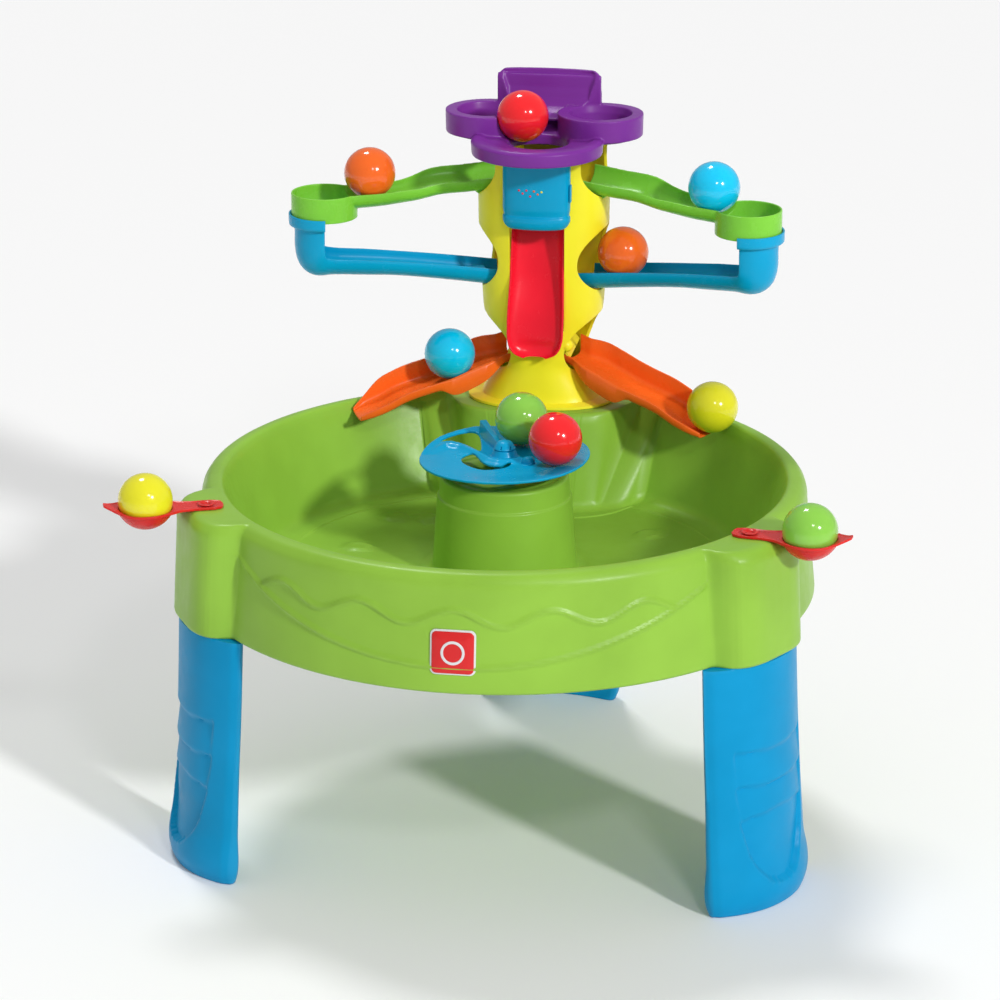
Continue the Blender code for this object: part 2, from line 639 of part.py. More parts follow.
SCOOP_PLAN = [           # handle and lip along +X from the pivot: distance, half width
    (-0.0190, 0.0015), (-0.0175, 0.0065), (-0.0125, 0.0110), (0.0, 0.0132), (0.0150, 0.0128), (0.0300, 0.0160),
    (0.0450, 0.0260), (0.0560, 0.0312), (0.0680, 0.0330), (0.0800, 0.0305), (0.0900, 0.0245), (0.0980, 0.0165),
    (0.1060, 0.0085), (0.1120, 0.0035),
]
SPOUT_RISE = 0.0075      # how far the spout turns up at its tip


def make_scoop(label):
    turn = SCOOP_TURN[label]
    pivot = SCOOP_PIVOT[label]
    sections = []
    for x, half in SCOOP_PLAN:
        rise = SPOUT_RISE * max(0.0, (x - 0.0800) / 0.0320) ** 2
        low, high = SCOOP_BOTTOM + rise, SCOOP_TOP + rise
        sections.append([(x, -half, low), (x, half, low), (x, half, high), (x, -half, high)])
    bm = loft(sections)
    scoop = add_object("scoop_" + label, mesh_of(bm), SCOOP_RED, PARTS, (*pivot, 0))
    rotation = (0, 0, math.radians(turn - 90))
    scoop.rotation_euler = rotation
    shells = {}
    for part, radius in (("outer", BALL_R + 0.0027), ("inner", BALL_R + 0.0010)):
        bm = bmesh.new()
        bmesh.ops.create_uvsphere(bm, u_segments=20, v_segments=12, radius=radius)
        bmesh.ops.translate(bm, vec=(SCOOP_REACH, 0, BOWL_Z), verts=bm.verts)
        if part == "outer":
            bmesh.ops.bisect_plane(bm, geom=bm.verts[:] + bm.edges[:] + bm.faces[:], dist=1e-6,
                                   plane_co=(0, 0, SCOOP_TOP - 0.0004), plane_no=(0, 0, 1), clear_outer=True)
            bmesh.ops.holes_fill(bm, edges=bm.edges)
        shells[part] = add_object(f"scoop_{label}_{part}", mesh_of(bm), None, CUTTERS, (*pivot, 0))
        shells[part].rotation_euler = rotation
    combine(scoop, shells["outer"], "UNION")
    combine(scoop, shells["inner"], "DIFFERENCE")
    eye = cutter_cylinder(f"scoop_{label}_eye", 0.0040, 0.03, (*pivot, SCOOP_TOP), segments=16)
    combine(scoop, eye, "DIFFERENCE")
    pin = [(0, 0.4000), (0.0034, 0.4008), (0.0034, SCOOP_TOP + GAP), (0.0085, SCOOP_TOP + GAP),
           (0.0075, SCOOP_TOP + 0.0018), (0, SCOOP_TOP + 0.0022)]
    make_pin("scoop_pin_" + label, pin, SCOOP_RED, (*pivot, 0), 16)


# ---- badge and balls -----------------------------------------------------------------------------
BADGE_Z = 0.3295


def make_badge():
    half, corner = 0.0240, 0.006
    outline = []
    for quarter in range(4):
        for step in (0, 45, 90):
            a = math.radians(quarter * 90 + step)
            cx = (half - corner) * (1 if quarter in (0, 3) else -1)
            cz = (half - corner) * (1 if quarter in (0, 1) else -1)
            outline.append((cx + corner * math.cos(a), cz + corner * math.sin(a)))
    taper = (RIM_R - 0.0008 - SKIRT_R) / (0.3960 - SKIRT_Z)
    faces = [-(SKIRT_R + taper * (BADGE_Z + z - SKIRT_Z)) for x, z in outline]
    back = [(x, y - 0.0005, BADGE_Z + z) for (x, z), y in zip(outline, faces)]
    front = [(x * 0.96, y - 0.0022, BADGE_Z + z * 0.96) for (x, z), y in zip(outline, faces)]
    add_object("badge", mesh_of(loft([back, front])), RED)


def scoop_ball(label):
    pivot = Vector(SCOOP_PIVOT[label])
    place = pivot + Vector(bearing(SCOOP_TURN[label], SCOOP_REACH))
    return (place.x, place.y, BOWL_Z - 0.0007)


def on_arm(side, distance, height):
    start, out, _ = arm_frame(side)
    point = start + out * distance
    return (point.x, point.y, height)


def on_slide(side, distance, back, height):
    point, across = slide_place(side, distance)
    place = point + across * (side * back)
    return (place.x, place.y, height)


BALLS = {
    "ball_red_top": ("red", (-0.0204, 0.2640, 0.7570)),
    "ball_orange_upper": ("orange", on_arm(-1, 0.1540, 0.6885)),
    "ball_blue_upper": ("blue", on_arm(1, 0.1640, 0.6882)),
    "ball_orange_lower": ("orange", on_arm(1, 0.0490, 0.5968)),
    "ball_blue_slide": ("blue", on_slide(-1, 0.0622, -0.0040, 0.4718)),
    "ball_yellow_slide": ("yellow", on_slide(1, 0.1784, 0.0015, 0.4350)),
    "ball_yellow_scoop": ("yellow", scoop_ball("left")),
    "ball_green_scoop": ("green", scoop_ball("right")),
    "ball_green_spinner": ("green", (0.0120, 0.0480, 0.4604)),
    "ball_red_spinner": ("red", (0.0600, -0.0190, 0.4604)),
}


def make_balls():
    for name, (colour, place) in BALLS.items():
        bm = bmesh.new()
        bmesh.ops.create_uvsphere(bm, u_segments=12, v_segments=8, radius=BALL_R)
        add_object(name, mesh_of(bm), BALL_COLOURS[colour], PARTS, place)


make_tub()
make_legs()
make_tower()
make_baffles()
make_drop_cover()
make_front_slide()
make_tray()
for arm_label, arm_side in (("left", -1), ("right", 1)):
    make_upper_arm("upper_arm_" + arm_label, arm_side)
    make_lower_arm("lower_arm_" + arm_label, arm_side)
    make_lower_slide("lower_slide_" + arm_label, arm_side)
    make_scoop(arm_label)
make_spinner()
make_badge()
make_balls()
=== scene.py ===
"""Looks of the ball-play activity table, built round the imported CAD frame."""

from math import asin, atan2, copysign, cos, degrees, exp, hypot, pi, radians, sin, sqrt

import bmesh
import bpy
import numpy as np
from mathutils import Matrix, Vector


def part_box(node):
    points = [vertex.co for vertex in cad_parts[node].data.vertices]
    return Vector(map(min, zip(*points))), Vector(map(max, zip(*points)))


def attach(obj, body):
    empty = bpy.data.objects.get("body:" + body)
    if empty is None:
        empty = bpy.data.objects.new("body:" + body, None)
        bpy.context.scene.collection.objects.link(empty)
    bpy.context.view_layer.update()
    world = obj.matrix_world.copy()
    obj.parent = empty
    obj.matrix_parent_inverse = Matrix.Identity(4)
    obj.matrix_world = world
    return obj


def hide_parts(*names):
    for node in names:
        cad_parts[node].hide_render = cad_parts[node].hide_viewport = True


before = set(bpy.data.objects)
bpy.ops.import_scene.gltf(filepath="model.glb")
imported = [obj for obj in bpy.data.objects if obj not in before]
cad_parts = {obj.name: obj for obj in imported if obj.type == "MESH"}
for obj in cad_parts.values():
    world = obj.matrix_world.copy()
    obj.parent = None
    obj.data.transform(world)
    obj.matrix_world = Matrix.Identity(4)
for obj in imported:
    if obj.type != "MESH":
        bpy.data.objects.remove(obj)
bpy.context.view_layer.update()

TUB = Vector((0.0034, -0.0219, 0.0))     # the tub's own axis in the row frame
TAU = 2 * pi
BALL_R = 0.03
RIM_Z = 0.4125
SHEET = 0.0022                           # wall of arms, slides and scoops


# ---- materials -------------------------------
def srgb(r, g, b):
    return tuple(((c / 255) / 12.92 if c / 255 <= 0.04045 else ((c / 255 + 0.055) / 1.055) ** 2.4)
                 for c in (r, g, b)) + (1.0,)


def plastic(name, colour, rough=0.3, coat=0.0, peel=0.1, peel_scale=900.0, speck=0.05, edge=0.35,
            flow=0.06, through=0.0, shine=0.32):
    """Moulded plastic: faint flow marks, fine speckle, paler edges (rubbed wear plus a painted highlight),
    orange peel and uneven gloss.
    """
    mat = bpy.data.materials.new(name)
    mat.use_nodes = True
    nodes, links = mat.node_tree.nodes, mat.node_tree.links
    shader = nodes["Principled BSDF"]
    where = nodes.new("ShaderNodeTexCoord")

    def noise(scale, detail, rough_=0.5):
        n = nodes.new("ShaderNodeTexNoise")
        n.inputs["Scale"].default_value = scale
        n.inputs["Detail"].default_value = detail
        n.inputs["Roughness"].default_value = rough_
        links.new(where.outputs["Object"], n.inputs["Vector"])
        return n

    def ramp(source, low, high, c0, c1):
        r = nodes.new("ShaderNodeValToRGB")
        for element, position, colour_ in zip(r.color_ramp.elements, (low, high), (c0, c1)):
            element.position = position
            element.color = colour_
        links.new(source, r.inputs["Fac"])
        return r

    def mix(fac, a, b):
        m = nodes.new("ShaderNodeMix")
        m.data_type = "RGBA"
        if isinstance(fac, float):
            m.inputs[0].default_value = fac
        else:
            links.new(fac, m.inputs[0])
        for socket, value in ((m.inputs[6], a), (m.inputs[7], b)):
            if isinstance(value, tuple):
                socket.default_value = value
            else:
                links.new(value, socket)
        return m.outputs[2]

    def bump(strength, distance, height):
        b = nodes.new("ShaderNodeBump")
        b.inputs["Strength"].default_value = strength
        b.inputs["Distance"].default_value = distance
        links.new(height.outputs["Fac"], b.inputs["Height"])
        return b

    base = srgb(*colour)
    dark = tuple(c * (1 - flow) for c in base[:3]) + (1,)
    light = tuple(min(c * (1 + flow) + 0.003, 1) for c in base[:3]) + (1,)
    cloud = ramp(noise(9, 3).outputs["Fac"], 0.35, 0.65, dark, light)
    fleck = ramp(noise(1400, 2, 0.7).outputs["Fac"], 0.6, 0.78, (0, 0, 0, 1), (speck, speck, speck, 1))
    pale = tuple(min(c * 0.85 + 0.1, 1) for c in base[:3]) + (1,)
    body = mix(fleck.outputs["Color"], cloud.outputs["Color"], pale)
    geometry = nodes.new("ShaderNodeNewGeometry")
    # Convex edges made paler by pointiness: partly rubbed wear, partly a painted highlight where light
    # catches the edges.
    worn_edge_and_sheen = ramp(geometry.outputs["Pointiness"], 0.52, 0.6, (0, 0, 0, 1), (edge, edge, edge, 1))
    colour_out = mix(worn_edge_and_sheen.outputs["Color"], body, pale)
    links.new(colour_out, shader.inputs["Base Color"])
    smooth, dull = (rough * 0.85,) * 3 + (1,), (min(rough * 1.2, 1),) * 3 + (1,)
    gloss = ramp(noise(55, 4, 0.6).outputs["Fac"], 0.3, 0.7, smooth, dull)
    links.new(gloss.outputs["Color"], shader.inputs["Roughness"])
    skin = bump(peel, 0.0004, noise(peel_scale, 2))
    wave = bump(peel * 0.6, 0.001, noise(60, 2))
    links.new(skin.outputs["Normal"], wave.inputs["Normal"])
    links.new(wave.outputs["Normal"], shader.inputs["Normal"])
    values = {"IOR": 1.42, "Specular IOR Level": shine, "Coat Weight": coat, "Coat Roughness": 0.08}
    if through:
        values.update({"Subsurface Weight": through, "Subsurface Radius": (0.006, 0.006, 0.006),
                       "Subsurface Scale": 1.0})
    for socket, value in values.items():
        shader.inputs[socket].default_value = value
    return mat


def steel(name):
    mat = plastic(name, (175, 178, 182), rough=0.32, peel=0.05, speck=0.1, edge=0.3)
    mat.node_tree.nodes["Principled BSDF"].inputs["Metallic"].default_value = 1
    return mat


GLOSSY = {"rough": 0.24, "peel": 0.07, "edge": 0.25}
SHEER = {"rough": 0.26, "peel": 0.07, "edge": 0.25, "through": 0.1}      # thin walls that let light in
COARSE = {"peel_scale": 520, "edge": 0.25}                                # large rotation-moulded pieces
LIME = plastic("lime_tub", (140, 186, 62), rough=0.34, peel=0.14, **dict(COARSE, edge=0.3))
LEG = plastic("blue_legs", (0, 144, 196), shine=0.14, rough=0.34, peel=0.16, **COARSE)
YELLOW = plastic("yellow_tower", (255, 238, 44), rough=0.33, peel=0.08, edge=0.2)
RAMP = plastic("lime_ramp", (206, 214, 30), rough=0.33)
SKY = plastic("sky_blue", (0, 160, 208), shine=0.22, **GLOSSY)
GREEN = plastic("green_arms", (126, 202, 60), **dict(SHEER, edge=0.35, through=0.15))
ORANGE = plastic("orange_slides", (255, 106, 30), **SHEER)
RED = plastic("red_slide", (246, 26, 50), **GLOSSY)
BADGE = plastic("red_badge", (206, 36, 38), rough=0.22, peel=0.03, edge=0.1)
SILVER = plastic("badge_edge", (214, 214, 216), rough=0.25, peel=0.03)
PURPLE = plastic("purple_tray", (122, 44, 150), rough=0.33, peel=0.12, edge=0.35)
SCOOP = plastic("red_scoops", (214, 40, 36), **SHEER)
STEEL = steel("steel_fixings")
BALL = {}
for colour, tone, through in (("red", (250, 34, 40), 0.12), ("orange", (250, 108, 30), 0.12),
                              ("blue", (0, 196, 240), 0.12), ("yellow", (234, 228, 36), 0.12),
                              ("green", (138, 200, 74), 0.25)):
    BALL[colour] = plastic("ball_" + colour, tone, rough=0.16, coat=0.6, peel=0.03, speck=0.02, edge=0.05,
                           through=through)


# ---- mesh helpers ----------------------------
def new_object(name, mesh, material=None):
    obj = bpy.data.objects.new(name, mesh)
    bpy.context.scene.collection.objects.link(obj)
    if material:
        mesh.materials.append(material)
    return obj


def grid_mesh(rows, closed=True, cap=False):
    """Quads through rows of points; rows is an array (rows, columns, 3)."""
    rows = np.asarray(rows, dtype=float)
    count, width = rows.shape[:2]
    faces = []
    for r in range(count - 1):
        for i in range(width if closed else width - 1):
            j = (i + 1) % width
            faces.append((r * width + i, r * width + j, (r + 1) * width + j, (r + 1) * width + i))
    if cap:
        faces.append(tuple(range(width - 1, -1, -1)))
        faces.append(tuple(range((count - 1) * width, count * width)))
    mesh = bpy.data.meshes.new("grid")
    mesh.from_pydata(rows.reshape(-1, 3).tolist(), [], faces)
    mesh.update()
    return mesh


def outward(mesh):
    """Merges doubled points and turns every face to the outside."""
    bm = bmesh.new()
    bm.from_mesh(mesh)
    bmesh.ops.remove_doubles(bm, verts=bm.verts, dist=0.000002)
    bmesh.ops.recalc_face_normals(bm, faces=bm.faces)
    bm.to_mesh(mesh)
    bm.free()
    return mesh


def weld(obj, other):
    boolean(obj, other, "UNION")


def carve(obj, other):
    boolean(obj, other, "DIFFERENCE")


def solid(name, rows, material=None):
    """Closed solid through rows of points, capped at both ends."""
    return new_object(name, outward(grid_mesh(rows, cap=True)), material)


def from_bmesh(bm, name, material=None):
    mesh = bpy.data.meshes.new(name)
    bm.to_mesh(mesh)
    bm.free()
    return new_object(name, mesh, material)


def at(x, y, z=0.0):
    """Point measured from the tub's axis."""
    return (x + TUB.x, y + TUB.y, z)


def node_centre(node):
    low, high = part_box(node)
    return (Vector(low) + Vector(high)) / 2


def bake(obj):
    """Applies every modifier."""
    graph = bpy.context.evaluated_depsgraph_get()
    graph.update()
    mesh = bpy.data.meshes.new_from_object(obj.evaluated_get(graph))
    obj.modifiers.clear()
    old = obj.data
    obj.data = mesh
    bpy.data.meshes.remove(old)
    return obj


def boolean(obj, other, operation):
    modifier = obj.modifiers.new(operation.lower(), "BOOLEAN")
    modifier.operation = operation
    modifier.object = other
    modifier.solver = "EXACT"
    bake(obj)
    bpy.data.objects.remove(other, do_unlink=True)


def shell(name, mesh, material, thickness, side=(1, 0, 0), foot=0):
    """Thickens a surface inwards; side points outwards, foot counts the points of a flat bottom."""
    bm = bmesh.new()
    bm.from_mesh(mesh)
    if foot:
        bm.verts.ensure_lookup_table()
        bm.faces.new([bm.verts[i] for i in range(foot)])
    bmesh.ops.recalc_face_normals(bm, faces=bm.faces)
    side = Vector(side)
    if max(bm.faces, key=lambda f: f.calc_center_median() @ side).normal @ side < 0:
        bmesh.ops.reverse_faces(bm, faces=bm.faces)
    bm.to_mesh(mesh)
    bm.free()
    obj = new_object(name, mesh, material)
    wall = obj.modifiers.new("wall", "SOLIDIFY")
    wall.thickness = thickness
    wall.offset = -1
    return bake(obj)


def repaint(obj, material):
    obj.data.materials.clear()
    obj.data.materials.append(material)


def soften(obj, voxel, rounds, keep):
    """Remeshes to small quads and smooths, which rounds edges and inner corners as moulding does."""
    remesh = obj.modifiers.new("remesh", "REMESH")
    remesh.mode = "VOXEL"
    remesh.voxel_size = voxel
    remesh.use_smooth_shade = True
    smooth = obj.modifiers.new("smooth", "SMOOTH")
    smooth.factor = 0.5
    smooth.iterations = rounds
    fewer = obj.modifiers.new("fewer", "DECIMATE")
    fewer.ratio = keep
    bake(obj)
    obj.data.shade_smooth()


def edges(obj, width, segments, angle):
    """Rounds sharp edges and keeps the flats flat."""
    bevel = obj.modifiers.new("edge", "BEVEL")
    bevel.width = width
    bevel.segments = segments
    bevel.limit_method = "ANGLE"
    bevel.angle_limit = radians(angle)
    bake(obj)
    obj.data.shade_smooth()
    obj.data.set_sharp_from_angle(angle=radians(50))


def finish_piece(obj, body, material_slot, *nodes):
    """Fixes a piece to its body and hides the CAD nodes it stands in for; material_slot is not used."""
    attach(obj, body)
    if nodes:
        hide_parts(*nodes)


def cylinder(name, radius, height, centre, segments=96, radius_top=None):
    bm = bmesh.new()
    bmesh.ops.create_cone(bm, cap_ends=True, segments=segments, radius1=radius,
                          radius2=radius if radius_top is None else radius_top, depth=height)
    bmesh.ops.translate(bm, vec=Vector(centre), verts=bm.verts)
    return from_bmesh(bm, name)


def block(name, low, high):
    bm = bmesh.new()
    bmesh.ops.create_cube(bm, size=1)
    bmesh.ops.scale(bm, vec=Vector(high) - Vector(low), verts=bm.verts)
    bmesh.ops.translate(bm, vec=(Vector(high) + Vector(low)) / 2, verts=bm.verts)
    return from_bmesh(bm, name)


def turned(name, profile, steps=96, centre=(0, 0)):
    """Solid of revolution round Z; the profile starts and ends on the axis, or is a closed loop."""
    rows = [[(centre[0] + r * cos(TAU * i / steps), centre[1] + r * sin(TAU * i / steps), z)
             for i in range(steps)] for r, z in profile]
    return new_object(name, outward(grid_mesh(rows)))


def globe(name, radius, centre):
    """Small ball used to raise a bump or press a dimple."""
    arc = [radians(a) for a in np.linspace(-90, 90, 25)]
    profile = [(radius * cos(a), centre[2] + radius * sin(a)) for a in arc]
    return turned(name, profile, 40, centre[:2])


def sphere(name, radius, centre, around=96, up=64, cut=None):
    """Ball, or with a cut height only the closed part of it below that height."""
    bm = bmesh.new()
    bmesh.ops.create_uvsphere(bm, u_segments=around, v_segments=up, radius=radius)
    bmesh.ops.translate(bm, vec=centre, verts=bm.verts)
    if cut is not None:
        bmesh.ops.bisect_plane(bm, geom=bm.verts[:] + bm.edges[:] + bm.faces[:], dist=1e-6,
                               plane_co=(0, 0, cut), plane_no=(0, 0, 1), clear_outer=True)
        bmesh.ops.holes_fill(bm, edges=bm.edges)
    return from_bmesh(bm, name)


def rounded(points, count=5):
    """Polyline of (x, y, fillet radius) with each corner replaced by a short curve of count points."""
    out = []
    for i, (x, y, radius) in enumerate(points):
        if radius <= 0 or i in (0, len(points) - 1):
            out.append((x, y))
            continue
        px, py = points[i - 1][:2]
        nx, ny = points[i + 1][:2]
        da, db = hypot(px - x, py - y), hypot(nx - x, ny - y)
        cut = min(radius, 0.49 * da, 0.49 * db)
        ax, ay = x + (px - x) * cut / da, y + (py - y) * cut / da
        bx, by = x + (nx - x) * cut / db, y + (ny - y) * cut / db
        for k in range(count):
            t = k / (count - 1)
            out.append(((1 - t) ** 2 * ax + 2 * t * (1 - t) * x + t * t * bx,
                        (1 - t) ** 2 * ay + 2 * t * (1 - t) * y + t * t * by))
    return out


def spline(stations, distance):
    """Smooth interpolation of rows (distance, value, value...) at a distance."""
    keys = np.array(stations, dtype=float)
    x = keys[:, 0]
    slope = np.gradient(keys[:, 1:], x, axis=0)
    i = int(np.clip(np.searchsorted(x, distance) - 1, 0, len(x) - 2))
    h = x[i + 1] - x[i]
    t = (distance - x[i]) / h
    a, b = keys[i, 1:], keys[i + 1, 1:]
    return ((2 * t ** 3 - 3 * t ** 2 + 1) * a + (t ** 3 - 2 * t ** 2 + t) * h * slope[i]
            + (3 * t ** 2 - 2 * t ** 3) * b + (t ** 3 - t ** 2) * h * slope[i + 1])


def bearing(angle, distance, across=0.0):
    a = radians(angle)
    return (distance * sin(a) + across * cos(a), -distance * cos(a) + across * sin(a))


def smoothstep(low, high, value):
    t = np.clip((value - low) / (high - low), 0, 1)
    return t * t * (3 - 2 * t)


# ---- tub -------------------------------------
LEG_ANGLES = {"leg_left": -60.0, "leg_right": 60.0, "leg_rear": 180.0}
LOBE_V, LOBE_HALF = 0.31, 0.067         # middle and half width of the skirt's swelling over a leg
FLOOR_Z, TUB_WALL = 0.3, 0.0034
SKIRT_TOP, SKIRT_FOOT = 0.396, 0.283


def outline_hit(delta, middle, half, depth, power, outermost):
    """Distance from the tub's axis at which a ray crosses a rounded box on its own bearing."""
    t = np.linspace(0.12, 0.42, 1201)
    across, along = np.abs(t * sin(delta)) / half, np.abs(t * cos(delta) - middle) / depth
    inside = across ** power + along ** power < 1
    hits = t[inside]
    if len(hits) == 0:
        return None
    return hits[-1] if outermost else hits[0]


def off(angle, axis):
    """Angle from an axis, between -180 and 180 degrees, in radians."""
    return radians((angle - axis + 180) % 360 - 180)


def skirt_radius(angle, base, reach):
    """Plain radius, swollen where one of the three leg lobes stands out."""
    radius = base
    for axis in LEG_ANGLES.values():
        hit = outline_hit(off(angle, axis), LOBE_V, LOBE_HALF, reach - LOBE_V, 3.6, True)
        if hit:
            radius = (radius ** 50 + hit ** 50) ** (1 / 50)
    return radius


def inner_radius(angle, base, half, depth):
    """Bowl wall's radius, drawn in round the block that the tower stands on."""
    hit = outline_hit(off(angle, 180.0), 0.3, half, depth, 2.9, False)
    return (base ** -40 + hit ** -40) ** (-1 / 40) if hit else base


def relief(angle, z):
    """Raised lines on the front skirt: a long sagging curve and a wave above it."""
    a = (angle + 180) % 360 - 180
    if abs(a) > 52:
        return 0.0
    sag = 0.312 + 0.0000286 * a * a
    swell = 0.3655 + 0.0085 * cos(radians(a) * 360 / 17.3)
    lift = 0.0
    if abs(a) < 50:
        fade = smoothstep(50, 46, abs(a))
        lift = fade * smoothstep(0.0036, 0.0002, abs(z - sag))
    if abs(a) < 42 and swell > sag - 0.001:
        fade = smoothstep(42, 39, abs(a))
        lift = max(lift, 0.95 * fade * smoothstep(0.0036, 0.0002, abs(z - swell)))
    return 0.0036 * lift


BUMPS = ((-0.153, 0.143), (-0.115, 0.144), (0.1495, 0.1285), (-0.175, 0.035), (0.172, 0.045),
         (-0.1, -0.16))


def floor_shape(x, y):
    """Low domes, each with a slight dip in its middle, on the bowl's floor."""
    lift = 0.0
    for bx, by in BUMPS:
        d = hypot(x - bx, y - by)
        lift += 0.0028 * smoothstep(0.0165, 0.0125, d) - 0.0008 * smoothstep(0.0085, 0.006, d)
    return lift


def tub_column(angle):
    """Outside line of the tub on one bearing: pedestal, floor, bowl wall, rolled rim and skirt."""
    top = inner_radius(angle, 0.311, 0.105, 0.088)
    foot = inner_radius(angle, 0.277, 0.134, 0.107)
    out = skirt_radius(angle, 0.339, 0.374)
    bottom = skirt_radius(angle, 0.35, 0.38)
    step = foot - 0.028
    points = [(0.0062, 0.411, 0), (0.056, 0.411, 0.001), (0.0575, 0.41, 0.001),
              (0.062, 0.41, 0.001), (0.064, 0.4112, 0.002), (0.0722, 0.4112, 0.006),
              (0.0736, 0.388, 0.0012), (0.0757, 0.3862, 0.002), (0.0815, 0.3, 0.011),
              (0.094, 0.2995, 0.004)]
    for k in range(22):
        points.append((0.098 + (step - 0.004 - 0.098) * k / 21, FLOOR_Z, 0))
    points += [
        (step, 0.3, 0.0012), (step + 0.0018, 0.3016, 0.0012), (foot - 0.002, 0.3022, 0.018),
        (top + 0.001, 0.404, 0.012), (top + 0.006, RIM_Z, 0.006), (out - 0.014, RIM_Z, 0.006),
        (out - 0.0075, 0.4105, 0.004), (out - 0.0018, 0.403, 0.006), (out - 0.0004, 0.396, 0.004),
    ]
    line = rounded(points, 5)
    for k in range(1, 44):
        z = 0.393 + (0.288 - 0.393) * (k / 43)
        slope = (bottom - out + 0.0008) * (SKIRT_TOP - z) / (SKIRT_TOP - SKIRT_FOOT)
        line.append((out - 0.0008 + slope, z))
    line += [(bottom - 0.0006, 0.2862), (bottom - 0.0016, 0.2844), (bottom - 0.0032, 0.2834)]
    return line


def make_tub():
    angles = set(np.round(np.arange(0, 360, 0.75), 3))
    finer = np.concatenate([np.arange(-15, -8, 0.35), np.arange(8, 15, 0.35)])
    for axis in LEG_ANGLES.values():
        angles |= set(np.round((axis + finer) % 360, 3))
    angles = sorted(angles)
    columns = []
    for angle in angles:
        column = []
        for r, z in tub_column(float(angle)):
            shift = relief(float(angle), z) if r > 0.33 and z < 0.394 else 0.0
            x, y = bearing(float(angle), r + shift)
            if z < 0.3005 and 0.09 < r < 0.27:
                z += floor_shape(x, y)
            column.append(at(x, y, z))
        columns.append(column)
    rows = np.array(columns).transpose(1, 0, 2)
    tub = shell("tub_shell", grid_mesh(rows), LIME, TUB_WALL)
    tub.data.shade_smooth()
    finish_piece(tub, "table", "lime_tub", "tub")


make_tub()


# ---- legs ------------------------------------
LEG_KEYS = [             # height, half width, inner face, side edge, outer bulge
    (0.0, 0.083, 0.349, 0.36, 0.3925), (0.006, 0.0855, 0.348, 0.3615, 0.3945),
    (0.06, 0.085, 0.345, 0.357, 0.3905), (0.12, 0.084, 0.342, 0.352, 0.3855),
    (0.2, 0.083, 0.337, 0.346, 0.381), (0.2824, 0.082, 0.333, 0.3415, 0.378),
]
PANEL_WIDTH = ((0.026, 0.034, 0.05, 0.068, 0.1, 0.134, 0.19),      # heights of the grip panel
               (0.0, 0.0235, 0.038, 0.047, 0.055, 0.059, 0.06))       # half widths at them
LEG_WALL = 0.003


def leg_panel(u, z):
    """Depth of the grip panel pressed into the outer face: three shingled steps over a rounded hollow."""
    wide = float(np.interp(z, *PANEL_WIDTH))
    bow = 1 - np.clip(u / 0.058, -1, 1) ** 2
    first, second, third = 0.186 - 0.004 * bow, 0.146 - 0.004 * bow, 0.106 + 0.005 * bow
    mask = smoothstep(wide + 0.001, wide - 0.003, np.abs(u)) * smoothstep(0.0262, 0.03, z)

    def below(line):
        return smoothstep(0.0009, -0.0009, z - line)

    grooves = sum(0.0012 * np.exp(-((z - line - 0.0002) / 0.0013) ** 2) for line in (first, second, third))
    depth = grooves + below(first) * (0.0036 - 0.003 * np.clip((first - z) / 0.036, 0, 1))
    depth = depth + below(second) * (0.0034 - 0.003 * np.clip((second - z) / 0.036, 0, 1))
    depth = depth + below(third) * (0.0034 + 0.002 * smoothstep(0.1, 0.06, z))
    return mask * depth


def make_legs():
    """Hollow legs; above the skirt's lower edge each one shrinks to run up inside it."""
    for name, axis in LEG_ANGLES.items():
        heights = list(np.linspace(0.0, 0.006, 4)) + list(np.linspace(0.009, 0.2822, 92))
        rows = []
        for z in heights:
            half, inner, side, bulge = spline(LEG_KEYS, z)
            s = np.linspace(-1, 1, 81)
            u = half * s
            v = side + (bulge - side) * (1 - np.abs(s) ** 2.2)
            v = v - 0.0035 * smoothstep(0.93, 1.0, np.abs(s)) - leg_panel(u, z)
            ring = list(zip(u, v))
            hollow = 0.45 * (bulge - side)
            ring += [(half - 0.0012, inner + 0.0035), (half - 0.004, inner + 0.0006)]
            ring += [(half * t, inner + hollow * (1 - (t / 0.92) ** 2)) for t in np.linspace(0.88, -0.88, 15)]
            ring += [(-half + 0.004, inner + 0.0006), (-half + 0.0012, inner + 0.0035)]
            rows.append([(*bearing(axis, v_, u_), z) for u_, v_ in ring])
        limits = []
        for x, y, _ in rows[-1]:
            angle = degrees(atan2(x, -y))
            limits.append(skirt_radius(angle, 0.349, 0.379) - 0.0042)
        brim = rows[-1]
        for z in (0.2835, 0.284, 0.295, 0.308):
            row = []
            for (x, y, _), limit in zip(brim, limits):
                shrink = min(1.0, (limit - 0.1 * (z - 0.2835)) / hypot(x, y))
                row.append((x * shrink, y * shrink, z))
            rows.append(row)
        rows = np.array(rows)
        rows[:, :, 0] += TUB.x
        rows[:, :, 1] += TUB.y
        middle = rows[0].mean(axis=0)
        first = middle + (rows[0] - middle) * 0.985
        second = middle + (rows[0] - middle) * 0.3
        rows = np.concatenate([second[None], first[None], rows], axis=0)
        rows[2:6, :, 2] += 0.0003
        leg = shell(name + "_shell", grid_mesh(rows), LEG, LEG_WALL, (0, 0, -1), rows.shape[1])
        leg.data.shade_smooth()
        leg.data.set_sharp_from_angle(angle=radians(60))
        finish_piece(leg, "table", "blue_legs", name)


make_legs()


